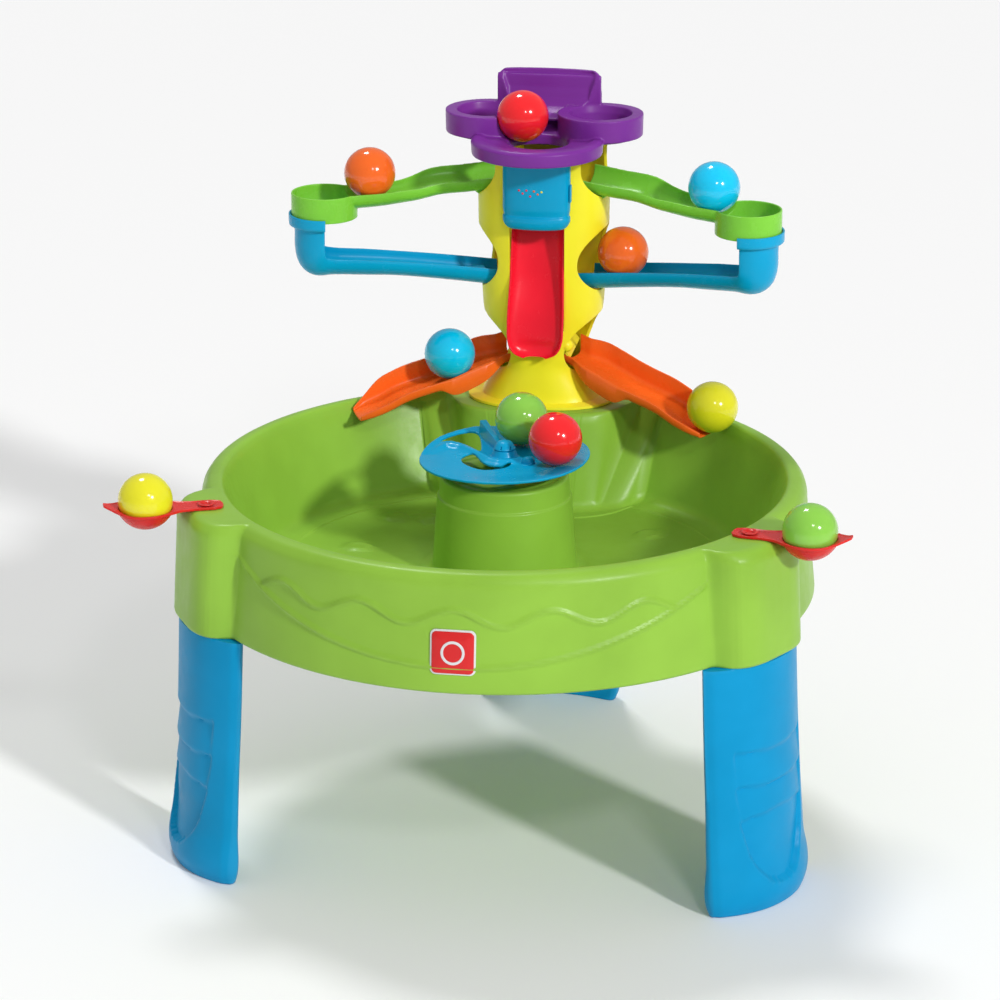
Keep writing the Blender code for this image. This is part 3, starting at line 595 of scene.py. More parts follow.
# ---- tower -----------------------------------
TOWER_Y = 0.297 + TUB.y
TOWER_POWER = 2.4
TOWER_WALL, SEAM = 0.003, 0.0005         # each half stops a hair short of the parting plane
TOWER_KEYS = [           # height, half width, half depth
    (0.413, 0.0885, 0.07), (0.416, 0.0885, 0.07), (0.4185, 0.0725, 0.061), (0.432, 0.065, 0.059),
    (0.45, 0.0525, 0.0562), (0.458, 0.048, 0.0555), (0.482, 0.06, 0.0565), (0.52, 0.0705, 0.0585),
    (0.62, 0.0765, 0.06), (0.7192, 0.0775, 0.0605),
]
WINDOWS = ((0.4838, 0.0358), (0.5865, 0.0385), (0.701, 0.041))     # height, half height
WINDOW_Y = 0.288 + TUB.y


def oval(half_width, half_depth, turn):
    """Point of the tower's rounded section; turn runs from -90 (left) over 0 (front) to 90."""
    a = radians(turn)
    scale = (abs(sin(a)) ** TOWER_POWER + abs(cos(a)) ** TOWER_POWER) ** (-1 / TOWER_POWER)
    return half_width * scale * sin(a), -half_depth * scale * cos(a)


def tower_half(name, facing):
    """Front (1) or rear (-1) shell with its side windows; the front one also has the slide's opening."""
    fine = []
    for (z0, a0, b0), (z1, a1, b1) in zip(TOWER_KEYS, TOWER_KEYS[1:]):
        steps = max(1, int((z1 - z0) / 0.005))
        fine += [(z0 + (z1 - z0) * k / steps, a0 + (a1 - a0) * k / steps, b0 + (b1 - b0) * k / steps)
                 for k in range(steps)]
    fine.append(TOWER_KEYS[-1])
    widths = np.array([f[1:] for f in fine])
    for _ in range(3):
        inner = slice(9, -1)
        widths[inner] = (widths[8:-2] + 2 * widths[inner] + widths[10:]) / 4
    rows = []
    for (z, *_), (a, b) in zip(fine, widths):
        section = [oval(a, b, t) for t in np.linspace(-90, 90, 73)]
        rows.append([(x, TOWER_Y + facing * (y - SEAM), z) for x, y in section])
    half = shell(name, grid_mesh(rows, closed=False), YELLOW, TOWER_WALL)
    for z, tall in WINDOWS:
        ring = [radians(a) for a in np.linspace(0, 360, 97)[:-1]]
        line = [(WINDOW_Y + 0.042 * copysign(abs(cos(a)) ** 0.85, cos(a)),
                 z + tall * copysign(abs(sin(a)) ** 0.85, sin(a))) for a in ring]
        rows = [[(x, y, high) for y, high in line] for x in (-0.12, 0.12)]
        carve(half, solid("window", rows))
    if facing == 1:
        carve(half, block("opening", (-0.0322, 0.18, 0.506), (0.0322, 0.247, 0.73)))
        weld(half, globe("bump", 0.008, (0.0335, -0.0505 + 0.0064 + TOWER_Y, 0.486)))
        carve(half, globe("dimple", 0.007, (0.003, -0.06 - 0.0036 + TOWER_Y, 0.471)))
    return half


def make_tower():
    for name, facing in (("tower_front", 1), ("tower_rear", -1)):
        half = tower_half(name + "_shell", facing)
        half.data.transform(Matrix.Translation((TUB.x, 0, 0)))
        edges(half, 0.0009, 2, 40)
        finish_piece(half, "table", "yellow_tower", name)


make_tower()


# ---- arms ------------------------------------
ARM_START = Vector((0.0505, 0.2885))
CUP = Vector((0.2474, 0.2222))
CUP_R, CUP_BOTTOM, CUP_TOP = 0.0385, 0.639, 0.6685
UPPER = [(0.0, 0.6875, 0.024, 0.02), (0.04, 0.6843, 0.024, 0.02), (0.078, 0.6815, 0.024, 0.0197),
         (0.105, 0.674, 0.0242, 0.019), (0.13, 0.6705, 0.025, 0.0195),
         (0.186, 0.6684, 0.027, 0.021)]
BANK = 0.0045
LOWER = [(0.0, 0.571, 0.024, 0.022), (0.065, 0.58, 0.024, 0.0205), (0.135, 0.588, 0.0245, 0.0197),
         (0.16, 0.5905, 0.0255, 0.0208)]


def arm_frame(side, start=ARM_START, end=CUP):
    """Start, outward direction and sideways direction of an arm, in plan."""
    a = Vector((side * start.x, start.y))
    out = (Vector((side * end.x, end.y)) - a).normalized()
    return a + Vector((TUB.x, TUB.y)), out, Vector((-out.y, out.x))


def channel(half, depth, wall=0.0, lift=0.0, count=25):
    """U section as (across, down), drawn in by a wall and carried up past the rims by a lift."""
    line = []
    for i in range(count):
        a = pi * i / (count - 1)
        line.append(((half - wall) * cos(a), (depth - wall) * max(sin(a), 0) ** 0.75))
    if lift:
        line = [(line[0][0], -lift)] + line + [(line[-1][0], -lift)]
    return line


def band(points, thickness):
    """Closed loop of a strip: the given line and its offset to the outer side."""
    offset = []
    for i, (x, y) in enumerate(points):
        before, after = points[max(i - 1, 0)], points[min(i + 1, len(points) - 1)]
        dx, dy = after[0] - before[0], after[1] - before[1]
        length = hypot(dx, dy)
        offset.append((x + thickness * dy / length, y - thickness * dx / length))
    return list(points) + offset[::-1]


def trough(name, side, stations, first, last, line_of, bank=0.0, count=60):
    start, out, across = arm_frame(side)
    rows = []
    for distance in np.linspace(first, last, count):
        held = min(max(distance, stations[0][0]), stations[-1][0])
        rim, half, depth = spline(stations, held)
        centre = start + out * float(distance)
        lean = side * bank * smoothstep(0.128, 0.078, distance) / half
        rows.append([(centre.x + across.x * u, centre.y + across.y * u, rim - down + lean * u)
                     for u, down in line_of(half, depth)])
    return solid(name, rows)


def hook_tab(foot, out, low, half, rise):
    """Hook tab under an arm's tower end: deep at its inner end, running out to nothing along the arm."""
    near, far = -0.006, 0.01
    outline = [(near, low), (near + 0.004, low - 0.0005), (far + 0.006, low + rise), (near, low + rise)]
    rows = [[(x, y, z) for x, z in outline] for y in (-half, half)]
    tab = solid("tab", rows)
    turn = Matrix.Rotation(atan2(out.y, out.x), 4, "Z")
    tab.data.transform(Matrix.Translation((foot.x, foot.y, 0)) @ turn)
    return tab


def make_upper_arm(name, side):
    arm = trough(name + "_trough", side, UPPER, 0.0, 0.186, lambda h, d: channel(h, d), BANK)
    cup = (side * CUP.x + TUB.x, CUP.y + TUB.y, (CUP_TOP + CUP_BOTTOM) / 2)
    weld(arm, cylinder("cup", CUP_R, CUP_TOP - CUP_BOTTOM, cup))
    hollow = trough("inner", side, UPPER, -0.02, 0.19, lambda h, d: channel(h, d, SHEET, 0.03), BANK)
    carve(arm, hollow)
    carve(arm, cylinder("bore", CUP_R - SHEET, 0.1, cup))
    start, out, _ = arm_frame(side)
    weld(arm, hook_tab(start + out * 0.022, out, 0.656, 0.011, 0.0125))
    soften(arm, 0.0008, 3, 0.35)
    repaint(arm, GREEN)
    finish_piece(arm, "table", "green_arms", name)


def make_lower_arm(name, side):
    start, out, across = arm_frame(side)
    reach = (Vector((side * CUP.x, CUP.y)) - Vector((side * ARM_START.x, ARM_START.y))).length
    rows = []
    for distance in np.linspace(0, 0.16, 40):
        rim, half, depth = spline(LOWER, distance)
        centre = start + out * float(distance)
        rows.append([(centre.x + across.x * u, centre.y + across.y * u, rim - down)
                     for u, down in band(channel(half, depth), SHEET)])
    bend = [(0.0, 0.02, 0.5925, 0, 0.0258, 0.021), (1.0, 0.007, 0.594, 8, 0.028, 0.0222),
            (2.0, 0.0, 0.596, 30, 0.0305, 0.0275), (3.0, -0.003, 0.6, 55, 0.0325, 0.03),
            (4.0, -0.004, 0.608, 78, 0.033, 0.0295), (5.0, -0.004, 0.617, 90, 0.033, 0.029)]
    path = [tuple(spline(bend, t)) for t in np.linspace(0, 5, 41)]
    path += [(-0.004, z, 90, 0.033, 0.029) for z in (0.62, 0.625, 0.629)]
    path += [(-0.004, 0.63, 90, 0.0334, 0.0294), (-0.004, 0.6306, 90, 0.0385, 0.0345),
             (-0.004, 0.6314, 90, 0.0394, 0.0354)]
    path += [(-0.004, z, 90, 0.0397, 0.0357) for z in (0.634, 0.637, 0.64, 0.6437)]
    for back, height, tilt, half, depth in path:
        tilt = min(max(float(tilt), 0.0), 90.0)
        a = radians(tilt)
        centre = start + out * float(reach - back)
        past = max(-float(back), 0.0)
        first = asin(past / (depth + past))
        power = 0.75 + 0.25 * tilt / 90
        line = []
        for i in range(25):
            t = first + (pi - 2 * first) * i / 24
            line.append((half * cos(t), (depth + past) * max(sin(t), 0.0) ** power - past))
        row = []
        for u, down in band(line, SHEET):
            shift = out * float(down * sin(a)) + across * float(u)
            row.append((centre.x + shift.x, centre.y + shift.y, height - down * cos(a)))
        rows.append(row)
    arm = solid(name + "_tube", rows, SKY)
    weld(arm, hook_tab(start + out * 0.024, out, 0.556, 0.01, 0.012))
    edges(arm, 0.0006, 2, 50)
    repaint(arm, SKY)
    finish_piece(arm, "table", "sky_blue", name)


SLIDE_START, SLIDE_TIP = Vector((0.049, 0.274)), Vector((0.208, 0.202))
SLIDE = [(0.0, 0.46, 0.019, 0.024, 0.01, 0.0), (0.0176, 0.455, 0.025, 0.026, 0.01, 0.012),
         (0.042, 0.447, 0.0265, 0.026, 0.01, 0.018),
         (0.0637, 0.439, 0.0265, 0.026, 0.01, 0.015),
         (0.08, 0.4345, 0.0265, 0.0255, 0.01, 0.001), (0.122, 0.423, 0.0265, 0.0245, 0.01, 0.0),
         (0.144, 0.413, 0.026, 0.023, 0.0095, 0.0), (0.16, 0.4075, 0.0245, 0.012, 0.0085, 0.0),
         (0.1745, 0.403, 0.0185, 0.004, 0.005, 0.0)]


def make_lower_slide(name, side):
    start, out, across = arm_frame(side, SLIDE_START, SLIDE_TIP)
    rows = []
    for distance in np.linspace(-0.014, 0.1745, 78):
        floor, half, back, front, apron = spline(SLIDE, max(distance, 0.0))
        floor += 0.25 * max(-distance, 0.0)
        apron = max(float(apron), 0.0)
        centre = start + out * float(distance)
        line = rounded([(half, -back, 0), (half, -0.001, 0.007), (half * 0.35, 0.0, 0.004),
                        (-half * 0.35, 0.0, 0.004), (-half, -0.0008, 0.005), (-half, -front, 0)], 6)
        line = band(line, SHEET)
        count = len(line) // 2
        for k in range(5):
            u, down = line[count + k]
            line[count + k] = (u - 0.0004, down + apron * max(0.0, 1 - abs(k - 2.5) / 3.0))
        rows.append([(centre.x + side * across.x * u, centre.y + side * across.y * u, floor - down)
                     for u, down in line])
    slide = solid(name + "_channel", rows, ORANGE)
    edges(slide, 0.0007, 2, 50)
    finish_piece(slide, "table", "orange_slides", name)


for label, side in (("left", -1), ("right", 1)):
    make_upper_arm("upper_arm_" + label, side)
    make_lower_arm("lower_arm_" + label, side)
    make_lower_slide("lower_slide_" + label, side)


# ---- tower front and top ---------------------
COVER_HALF, COVER_DEPTH, COVER_Y = 0.0395, 0.0205, 0.2385


def make_cover():
    """Bulging cover with a nipped lower end, a clip on its right side and a row of coloured dots."""
    arc = [radians(a) for a in np.linspace(-90, 90, 49)]
    levels = [(0.632, 0.84, 0.8), (0.6335, 0.89, 0.88), (0.6355, 0.935, 0.94), (0.638, 0.97, 0.98),
              (0.641, 1.0, 1.0), (0.6462, 1.0, 1.0), (0.647, 0.985, 0.955), (0.648, 0.968, 0.925),
              (0.6496, 0.972, 0.93), (0.653, 0.99, 0.985)]
    levels += [(z, 1.0, 1.0) for z in np.linspace(0.657, 0.719, 14)]
    rows = []
    for z, narrow, bulge in levels:
        line = []
        for half, depth, turns in ((COVER_HALF, COVER_DEPTH, arc), (0.037, 0.018, arc[::-1])):
            line += [(half * sin(a), COVER_Y - depth * bulge * max(cos(a), 0) ** 0.7) for a in turns]
        rows.append([at(x * narrow, y, z) for x, y in line])
    cover = solid("drop_cover_shell", rows, SKY)
    edges(cover, 0.0006, 2, 60)
    finish_piece(cover, "table", "sky_blue", "drop_cover")
    clip = block("cover_clip", at(0.0392, 0.229, 0.665), at(0.0412, 0.237, 0.685))
    edges(clip, 0.0006, 2, 50)
    clip.data.materials.append(SKY)
    finish_piece(clip, "table", "sky_blue")
    bm = bmesh.new()
    for number in range(7):
        across = -0.018 + 0.0044 * number
        height = 0.679 + (0.0008, -0.0026, 0.0012, -0.0056, 0.0006, -0.0028, 0.0)[number]
        face = COVER_Y - COVER_DEPTH * sqrt(1 - (across / COVER_HALF) ** 2) ** 0.7
        found = bmesh.ops.create_uvsphere(bm, u_segments=16, v_segments=10, radius=0.00135)
        bmesh.ops.translate(bm, vec=at(across, face + 0.0004, height), verts=found["verts"])
        for vert in found["verts"]:
            for one in vert.link_faces:
                one.material_index = 0 if number < 4 else 1 if number < 6 else 2
    dots = from_bmesh(bm, "cover_dots")
    dots.data.shade_smooth()
    for paint in (RED, ORANGE, YELLOW):
        dots.data.materials.append(paint)
    finish_piece(dots, "table", "sky_blue")


def make_front_slide():
    keys = [(0.4775, 0.2215, 0.012, 0.008), (0.481, 0.2215, 0.0205, 0.011),
            (0.487, 0.222, 0.0265, 0.013), (0.497, 0.2235, 0.0302, 0.0112),
            (0.515, 0.2262, 0.0312, 0.012), (0.57, 0.2395, 0.0298, 0.017),
            (0.615, 0.248, 0.0292, 0.018), (0.64, 0.256, 0.029, 0.018)]
    rows = []
    for z in list(np.linspace(0.4775, 0.5, 20)) + list(np.linspace(0.503, 0.64, 40)):
        rim_y, half, depth = spline(keys, z)
        line = [(half * cos(a), rim_y + depth * max(sin(a), 0) ** 0.8)
                for a in np.linspace(0, pi, 33)]
        rows.append([at(x, y, z) for x, y in band(line, SHEET)])
    slide = solid("front_slide_channel", rows, RED)
    edges(slide, 0.0007, 2, 50)
    finish_piece(slide, "table", "red_slide", "front_slide")


FUNNEL, FUNNEL_R, THROAT = (0.0, 0.239), 0.0765, (0.0, 0.245)
SIDE_HOLE = (0.066, 0.296)
DECK_Z = 0.72


def make_tray():
    """Top tray: a funnel in front, a seat for one ball behind it and a collared hole on either side."""
    def drum(part, radius, height, centre, top=None):
        return cylinder(part, radius, height, centre, segments=128, radius_top=top)

    def bored(part, profile, centre):
        carve(tray, turned(part, profile, 128, centre))

    def joined(part, rows):
        weld(tray, solid(part, rows))

    tray = drum("tray", FUNNEL_R - 0.001, 0.015, at(*FUNNEL, DECK_Z + 0.0075), FUNNEL_R)
    weld(tray, drum("lip", FUNNEL_R, 0.003, at(*FUNNEL, 0.7364), FUNNEL_R - 0.004))
    weld(tray, block("deck", at(-0.06, 0.27, DECK_Z), at(0.06, 0.342, 0.7425)))
    lid = [oval(0.0785, 0.061, t) for t in np.linspace(-180, 180, 97)[:-1]]
    joined("lid", [[(x + TUB.x, y + TOWER_Y, z) for x, y in lid] for z in (DECK_Z, DECK_Z + 0.005)])
    bore = [(0.0, 0.7), (0.035, 0.7), (0.035, 0.73), (0.0365, 0.7318), (0.04, 0.7326),
            (0.06, 0.7352), (0.0655, 0.7376), (0.068, 0.748), (0.068, 0.78), (0.0, 0.78)]
    bored("bore", bore, at(*THROAT))
    back = [(0.342, 0.746), (0.342, 0.79), (0.336, 0.79), (0.3345, 0.776), (0.33, 0.764),
            (0.322, 0.756), (0.31, 0.7505), (0.296, 0.747), (0.296, 0.744)]
    joined("seat", [[at(x, y, z) for y, z in back] for x in (-0.056, 0.056)])
    for side in (-1, 1):
        hub = at(side * SIDE_HOLE[0], SIDE_HOLE[1], 0.744)
        weld(tray, drum("ring", 0.0495, 0.026, hub, 0.05))
        weld(tray, drum("collar", 0.0395, 0.0175, (hub[0], hub[1], 0.73625)))
        fin = [(0.34, 0.746), (0.34, 0.79), (0.335, 0.7915), (0.329, 0.779), (0.32, 0.76),
               (0.314, 0.746)]
        joined("fin", [[at(side * x, y + lean, z) for y, z in fin]
                       for x, lean in ((0.048, 0.006), (0.0545, 0.0), (0.0612, 0.0))])
    arc = [radians(a) for a in np.linspace(-90, 90, 41)]
    outer = [(0.0625 * sin(a), 0.339 + 0.009 * cos(a)) for a in arc]
    inner = [(0.061 * sin(a), 0.3345 + 0.009 * cos(a)) for a in reversed(arc)]
    levels = ((0.74, 1.0), (0.77, 0.99), (0.785, 0.965), (0.7925, 0.93), (0.7962, 0.85))
    joined("board", [[at(x * grow, y, z) for x, y in outer + inner] for z, grow in levels])
    for side in (-1, 1):
        hole = [(0.0, 0.7), (0.0345, 0.7), (0.0345, 0.748), (0.0372, 0.7575), (0.0372, 0.8),
                (0.0, 0.8)]
        bored("hole", hole, at(side * SIDE_HOLE[0], SIDE_HOLE[1]))
    bored("throat", [(0.0, 0.7), (0.0335, 0.7), (0.0335, 0.74), (0.0, 0.74)], at(*THROAT))
    hollow = sphere("seat_hollow", BALL_R + 0.001, node_centre("ball_red_top"), 64, 48)
    carve(tray, hollow)
    soften(tray, 0.0011, 7, 0.5)
    tray.name = "top_tray_moulding"
    repaint(tray, PURPLE)
    finish_piece(tray, "table", "purple_tray", "top_tray")


make_cover()
make_front_slide()
make_tray()


# ---- balls -----------------------------------
def make_ball(node):
    """Ball with a fine raised seam, each one turned its own way."""
    bm = bmesh.new()
    bmesh.ops.create_uvsphere(bm, u_segments=96, v_segments=64, radius=BALL_R)
    for v in bm.verts:
        v.co *= 1 + 0.0035 * exp(-(v.co.z / 0.0006) ** 2)
    turn = radians(38 + 41 * (sum(map(ord, node)) % 7))
    axis = Vector((0.6, 0.5, 0.2)).normalized()
    bmesh.ops.rotate(bm, verts=bm.verts, matrix=Matrix.Rotation(turn, 3, axis))
    bmesh.ops.translate(bm, vec=node_centre(node), verts=bm.verts)
    colour = node.split("_")[1]
    ball = from_bmesh(bm, node + "_shell", BALL[colour])
    ball.data.shade_smooth()
    finish_piece(ball, node, "ball_" + colour, node)


for node in [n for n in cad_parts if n.startswith("ball_")]:
    make_ball(node)


# ---- spinner ---------------------------------
def closed_curve(points, each=8):
    """Smooth closed outline through plan points."""
    out = []
    n = len(points)
    for i in range(n):
        p0, p1, p2, p3 = (np.array(points[(i + k - 1) % n]) for k in range(4))
        for k in range(each):
            t = k / each
            out.append(0.5 * (2 * p1 + (p2 - p0) * t + (2 * p0 - 5 * p1 + 4 * p2 - p3) * t * t
                              + (3 * p1 - p0 - 3 * p2 + p3) * t ** 3))
    return out


def prism(name, outline, low, high):
    return solid(name, [[at(x, y, z) for x, y in outline] for z in (low, high)])


DISC_TOP, DISC_WALL = 0.429, 0.0028
SWIRL_TEAR = [(-0.079, 0.037), (-0.0735, 0.05), (-0.062, 0.0625), (-0.049, 0.07),
              (-0.04, 0.066), (-0.0345, 0.048), (-0.031, 0.02), (-0.042, 0.03),
              (-0.0525, 0.04), (-0.066, 0.042)]
SWIRL_COMMA = [(-0.0475, -0.009), (-0.045, 0.003), (-0.0385, 0.005), (-0.0316, -0.002),
               (-0.0225, -0.018), (-0.0134, -0.0265), (-0.002, -0.0275), (0.007, -0.02),
               (0.0105, -0.0215), (0.006, -0.033), (-0.006, -0.042), (-0.019, -0.0445),
               (-0.0327, -0.036), (-0.043, -0.024)]
SWIRL_BAND = [(-0.088, 0.012), (-0.072, 0.031), (-0.054, 0.027), (-0.04, 0.014), (-0.027, 0.0),
              (-0.016, -0.013), (-0.004, -0.0185), (0.01, -0.015), (0.018, -0.006)]
RIM_LIFT = ((-180, -0.0015), (-135, 0.0005), (-90, 0.003), (-45, 0.0045), (0, 0.007), (45, 0.006),
            (90, 0.005), (120, 0.008), (150, 0.005), (180, -0.0015))


def segment_distance(x, y, points):
    best = 1.0
    for (ax, ay), (bx, by) in zip(points, points[1:]):
        dx, dy = bx - ax, by - ay
        t = min(max(((x - ax) * dx + (y - ay) * dy) / (dx * dx + dy * dy), 0), 1)
        best = min(best, hypot(x - ax - dx * t, y - ay - dy * t))
    return best


def swirl_height(x, y):
    r, angle = hypot(x, y), degrees(atan2(y, x))
    rim = np.interp(angle, *zip(*RIM_LIFT)) * smoothstep(0.06, 0.0955, r)
    ridge = exp(-(segment_distance(x, y, SWIRL_BAND) / 0.0055) ** 2)
    return DISC_TOP + (rim + 0.0042 * ridge * smoothstep(0.088, 0.07, r))


def make_spinner():
    rows = []
    radii = [0.0063, 0.01, 0.014] + list(np.linspace(0.018, 0.094, 34)) + [0.0955]
    angles = np.linspace(0, TAU, 181)[:-1]
    for under, line in ((1, radii), (0, radii[::-1])):
        for r in line:
            row = []
            for a in angles:
                x, y = r * cos(a), r * sin(a)
                row.append(at(x, y, swirl_height(x, y) - (DISC_WALL if under else 0.0)))
            rows.append(row)
    rows.append(rows[0])
    disc = new_object("spinner_disc", outward(grid_mesh(rows)))
    for number, points in enumerate((SWIRL_TEAR, SWIRL_COMMA)):
        carve(disc, prism(f"swirl_{number}", closed_curve(points), 0.41, 0.45))
    hub = [(0.0063, 0.4202), (0.0128, 0.4202), (0.0136, 0.426), (0.019, 0.4275), (0.019, 0.429),
           (0.0152, 0.431), (0.0124, 0.438), (0.0118, 0.4393), (0.0063, 0.4393), (0.0063, 0.4202)]
    weld(disc, turned("hub", hub, 96, (TUB.x, TUB.y)))
    fin = []
    nx, ny = 0.88, 0.474
    for t in np.linspace(0, 1, 9):
        x, y = -0.008 - 0.028 * t, 0.019 + 0.052 * t
        top = 0.44 + 0.009 * t
        wide = 0.0036 + 0.0014 * t
        fin.append([at(x + nx * wide * k, y + ny * wide * k, z)
                    for k, z in ((-1, 0.4285), (1, 0.4285), (0.8, top), (-0.8, top))])
    weld(disc, solid("fin", fin))
    knob = [(0.0, 0.428), (0.0078, 0.428), (0.0076, 0.4318), (0.0064, 0.4345), (0.004, 0.4362),
            (0.0, 0.4368)]
    weld(disc, turned("knob", knob, 48, at(0.029, -0.015)))
    soften(disc, 0.0007, 4, 0.4)
    repaint(disc, SKY)
    finish_piece(disc, "spinner", "sky_blue", "spinner")
    cap = [(0.0, 0.4399), (0.0118, 0.4399), (0.0124, 0.4404), (0.0124, 0.4412), (0.0112, 0.4424),
           (0.0092, 0.4462), (0.0072, 0.448), (0.004, 0.449), (0.0, 0.4493)]
    dome = turned("spinner_cap_dome", cap, 72, (TUB.x, TUB.y))
    for k in range(6):
        a = TAU * k / 6 + 0.3
        slit = block("slit", (0.0085, -0.0007, 0.441), (0.014, 0.0007, 0.4446))
        slit.data.transform(Matrix.Translation((TUB.x, TUB.y, 0)) @ Matrix.Rotation(a, 4, "Z"))
        carve(dome, slit)
    edges(dome, 0.0003, 2, 50)
    dome.data.materials.append(SKY)
    finish_piece(dome, "spinner", "sky_blue", "spinner_cap")


make_spinner()


# ---- scoops ----------------------------------
SCOOP_PIVOT = {"left": (-0.303, -0.1691), "right": (0.2911, -0.1677)}
SCOOP_TURN = {"left": -70.0, "right": 82.0}
SCOOP_PLAN = [(-0.019, 0.003), (-0.0175, 0.0075), (-0.0125, 0.0115), (0.0, 0.0134), (0.015, 0.013),
              (0.03, 0.016), (0.045, 0.0258), (0.056, 0.0312), (0.068, 0.033), (0.08, 0.0308),
              (0.09, 0.0248), (0.098, 0.0165), (0.106, 0.0085), (0.112, 0.004)]
SCOOP_TOP, SCOOP_LOW, BOWL_Z = 0.416, 0.4128, 0.4252


def make_scoop(label):
    rows = []
    across = np.linspace(-1, 1, 25)
    for x in list(np.linspace(-0.019, -0.012, 9)) + list(np.linspace(-0.01, 0.112, 90)):
        half = float(spline(SCOOP_PLAN, x)[0])
        rise = 0.0075 * max(0.0, (x - 0.078) / 0.034) ** 2
        row = []
        for k in across:
            lip = 0.0009 * smoothstep(0.8, 0.95, abs(k))
            hollow = 0.0008 * smoothstep(0.0115, 0.01, hypot(x, k * half))
            row.append((x, k * half, SCOOP_TOP - 0.0009 + lip - hollow + rise))
        row += [(x, k * half * 0.985, SCOOP_LOW + rise) for k in across[::-1]]
        rows.append(row)
    scoop = solid("scoop_" + label + "_moulding", rows)
    middle = (0.066, 0, BOWL_Z)
    weld(scoop, sphere("outer", BALL_R + 0.0027, middle, cut=SCOOP_TOP - 0.0003))
    carve(scoop, sphere("inner", BALL_R + 0.0009, middle))
    carve(scoop, cylinder("eye", 0.004, 0.03, (0, 0, SCOOP_TOP)))
    pivot = at(*SCOOP_PIVOT[label])
    turn = Matrix.Rotation(radians(SCOOP_TURN[label] - 90), 4, "Z")
    scoop.data.transform(Matrix.Translation(pivot) @ turn)
    soften(scoop, 0.0006, 2, 0.35)
    repaint(scoop, SCOOP)
    finish_piece(scoop, "scoop_" + label, "red_scoops", "scoop_" + label)
    pin = [(0.0, 0.4), (0.0034, 0.4008), (0.0034, 0.4162), (0.0088, 0.4162), (0.0092, 0.4168),
           (0.0084, 0.4174), (0.0066, 0.417), (0.005, 0.416), (0.0025, 0.4156), (0.0, 0.4155)]
    head = turned("scoop_pin_" + label + "_head", pin, 48, pivot)
    head.data.shade_smooth()
    head.data.materials.append(SCOOP)
    finish_piece(head, "table", "red_scoops", "scoop_pin_" + label)


for label in ("left", "right"):
    make_scoop(label)


# ---- badge -----------------------------------
BADGE_Z = 0.3295


def on_skirt(x, z, depth):
    """Point on the skirt's front face, or depth in front of it; x and z count from the badge's middle."""
    radius = 0.35 - 0.1035 * (BADGE_Z + z - SKIRT_FOOT)
    return at(x, -sqrt((radius + depth) ** 2 - x * x), BADGE_Z + z)


def badge_plate(name, half, corner, back, front, material):
    """Rounded square plate that follows the skirt's curve; back and front are distances off the skirt."""
    corners = []
    for quarter in range(4):
        for step in np.linspace(0, 90, 7):
            a = radians(quarter * 90 + step)
            cx = (half - corner) * (1 if quarter in (0, 3) else -1)
            cz = (half - corner) * (1 if quarter in (0, 1) else -1)
            corners.append((cx + corner * cos(a), cz + corner * sin(a)))
    layers = ((back, 0.02), (back, 0.5), (back, 1.0), (front * 0.8 + back * 0.2, 1.0), (front, 0.97),
              (front, 0.5), (front, 0.02))
    rows = [[on_skirt(x * scale, z * scale, depth) for x, z in corners] for depth, scale in layers]
    obj = solid(name, rows, material)
    edges(obj, 0.0002, 2, 50)
    return obj


def make_badge():
    plate = badge_plate("badge_plate", 0.0243, 0.0062, 0.0004, 0.002, SILVER)
    finish_piece(plate, "table", "red_badge", "badge")
    field = badge_plate("badge_field", 0.0224, 0.005, 0.001, 0.0033, BADGE)
    finish_piece(field, "table", "red_badge")
    rows = []
    for ring in np.linspace(0, TAU, 65)[:-1]:
        x, z = cos(ring), sin(ring)
        section = ((0.0128, 0.0024), (0.0128, 0.0038), (0.01, 0.0038), (0.01, 0.0024))
        rows.append([on_skirt(radius * x, radius * z, depth) for radius, depth in section])
    rows.append(rows[0])
    motif = new_object("badge_ring", outward(grid_mesh(rows)), SILVER)
    edges(motif, 0.0002, 2, 50)
    finish_piece(motif, "table", "red_badge")


make_badge()


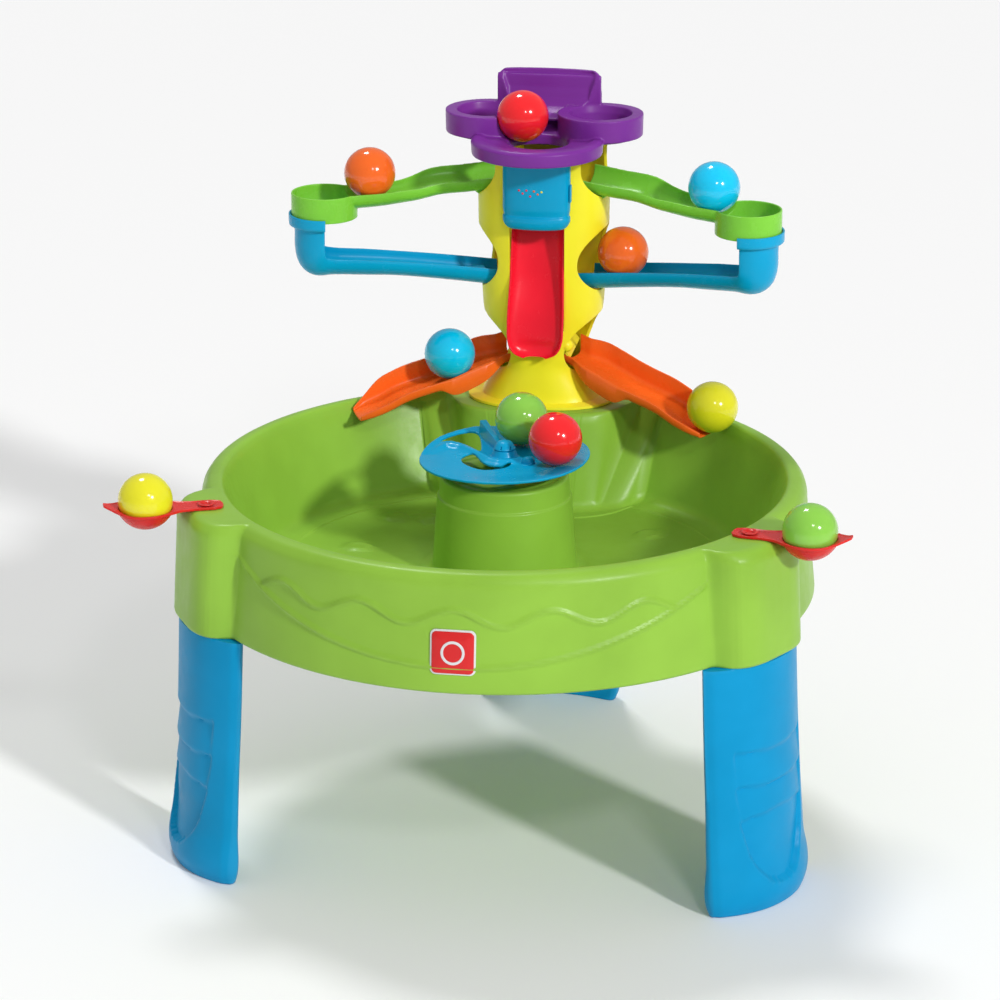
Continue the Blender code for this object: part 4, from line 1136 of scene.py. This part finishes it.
# ---- carried-over CAD nodes ------------------
CARRIED = {
    "tower_screw_left": STEEL, "tower_screw_right": STEEL, "axle_push_nut": STEEL, "upper_ramp": RAMP,
    "lower_divider": YELLOW, "spinner_axle": SKY,
}
for node, material in CARRIED.items():
    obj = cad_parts[node]
    for slot in obj.material_slots:
        slot.material = material
    if not obj.material_slots:
        obj.data.materials.append(material)


# ---- floor, light and camera -----------------
def make_stage():
    bm = bmesh.new()
    bmesh.ops.create_grid(bm, x_segments=2, y_segments=2, size=9)
    floor = from_bmesh(bm, "floor")
    floor.location = (0, 0, -0.0005)
    mat = bpy.data.materials.new("floor")
    mat.use_nodes = True
    shader = mat.node_tree.nodes["Principled BSDF"]
    shader.inputs["Base Color"].default_value = (0.96, 0.96, 0.96, 1)
    shader.inputs["Roughness"].default_value = 0.9
    floor.data.materials.append(mat)

    world = bpy.data.worlds.new("studio")
    world.use_nodes = True
    world.node_tree.nodes["Background"].inputs[0].default_value = (1, 1, 1, 1)
    world.node_tree.nodes["Background"].inputs[1].default_value = 0.4
    bpy.context.scene.world = world

    def lamp(kind, name, place, target, power):
        data = bpy.data.lights.new(name, kind)
        data.energy = power
        obj = bpy.data.objects.new(name, data)
        obj.location = place
        obj.rotation_euler = (Vector(target) - Vector(place)).to_track_quat("-Z", "Y").to_euler()
        bpy.context.scene.collection.objects.link(obj)
        return data

    lamp("SUN", "key", (2.01, -1.8, 1.8), (0, 0, 0.4), 1.85).angle = radians(5)
    lamp("SUN", "back", (-0.8, 1.4, 3.4), (0, 0, 0.4), 1.05).angle = radians(12)
    spark = lamp("AREA", "spark", (1.2, -2.6, 2.6), (0, 0, 0.5), 14)
    spark.shape = "RECTANGLE"
    spark.size = spark.size_y = 0.35

    cam = bpy.data.cameras.new("camera")
    cam.lens = 136.965
    cam.sensor_width = 36
    camera = bpy.data.objects.new("camera", cam)
    camera.location = Vector((0.6282, -3.9863, 1.7844)) + TUB
    target = Vector((-0.0052, 0.0, 0.3785)) + TUB
    camera.rotation_euler = (target - camera.location).to_track_quat("-Z", "Y").to_euler()
    bpy.context.scene.collection.objects.link(camera)
    bpy.context.scene.camera = camera
    bpy.context.scene.view_settings.view_transform = "Standard"


make_stage()
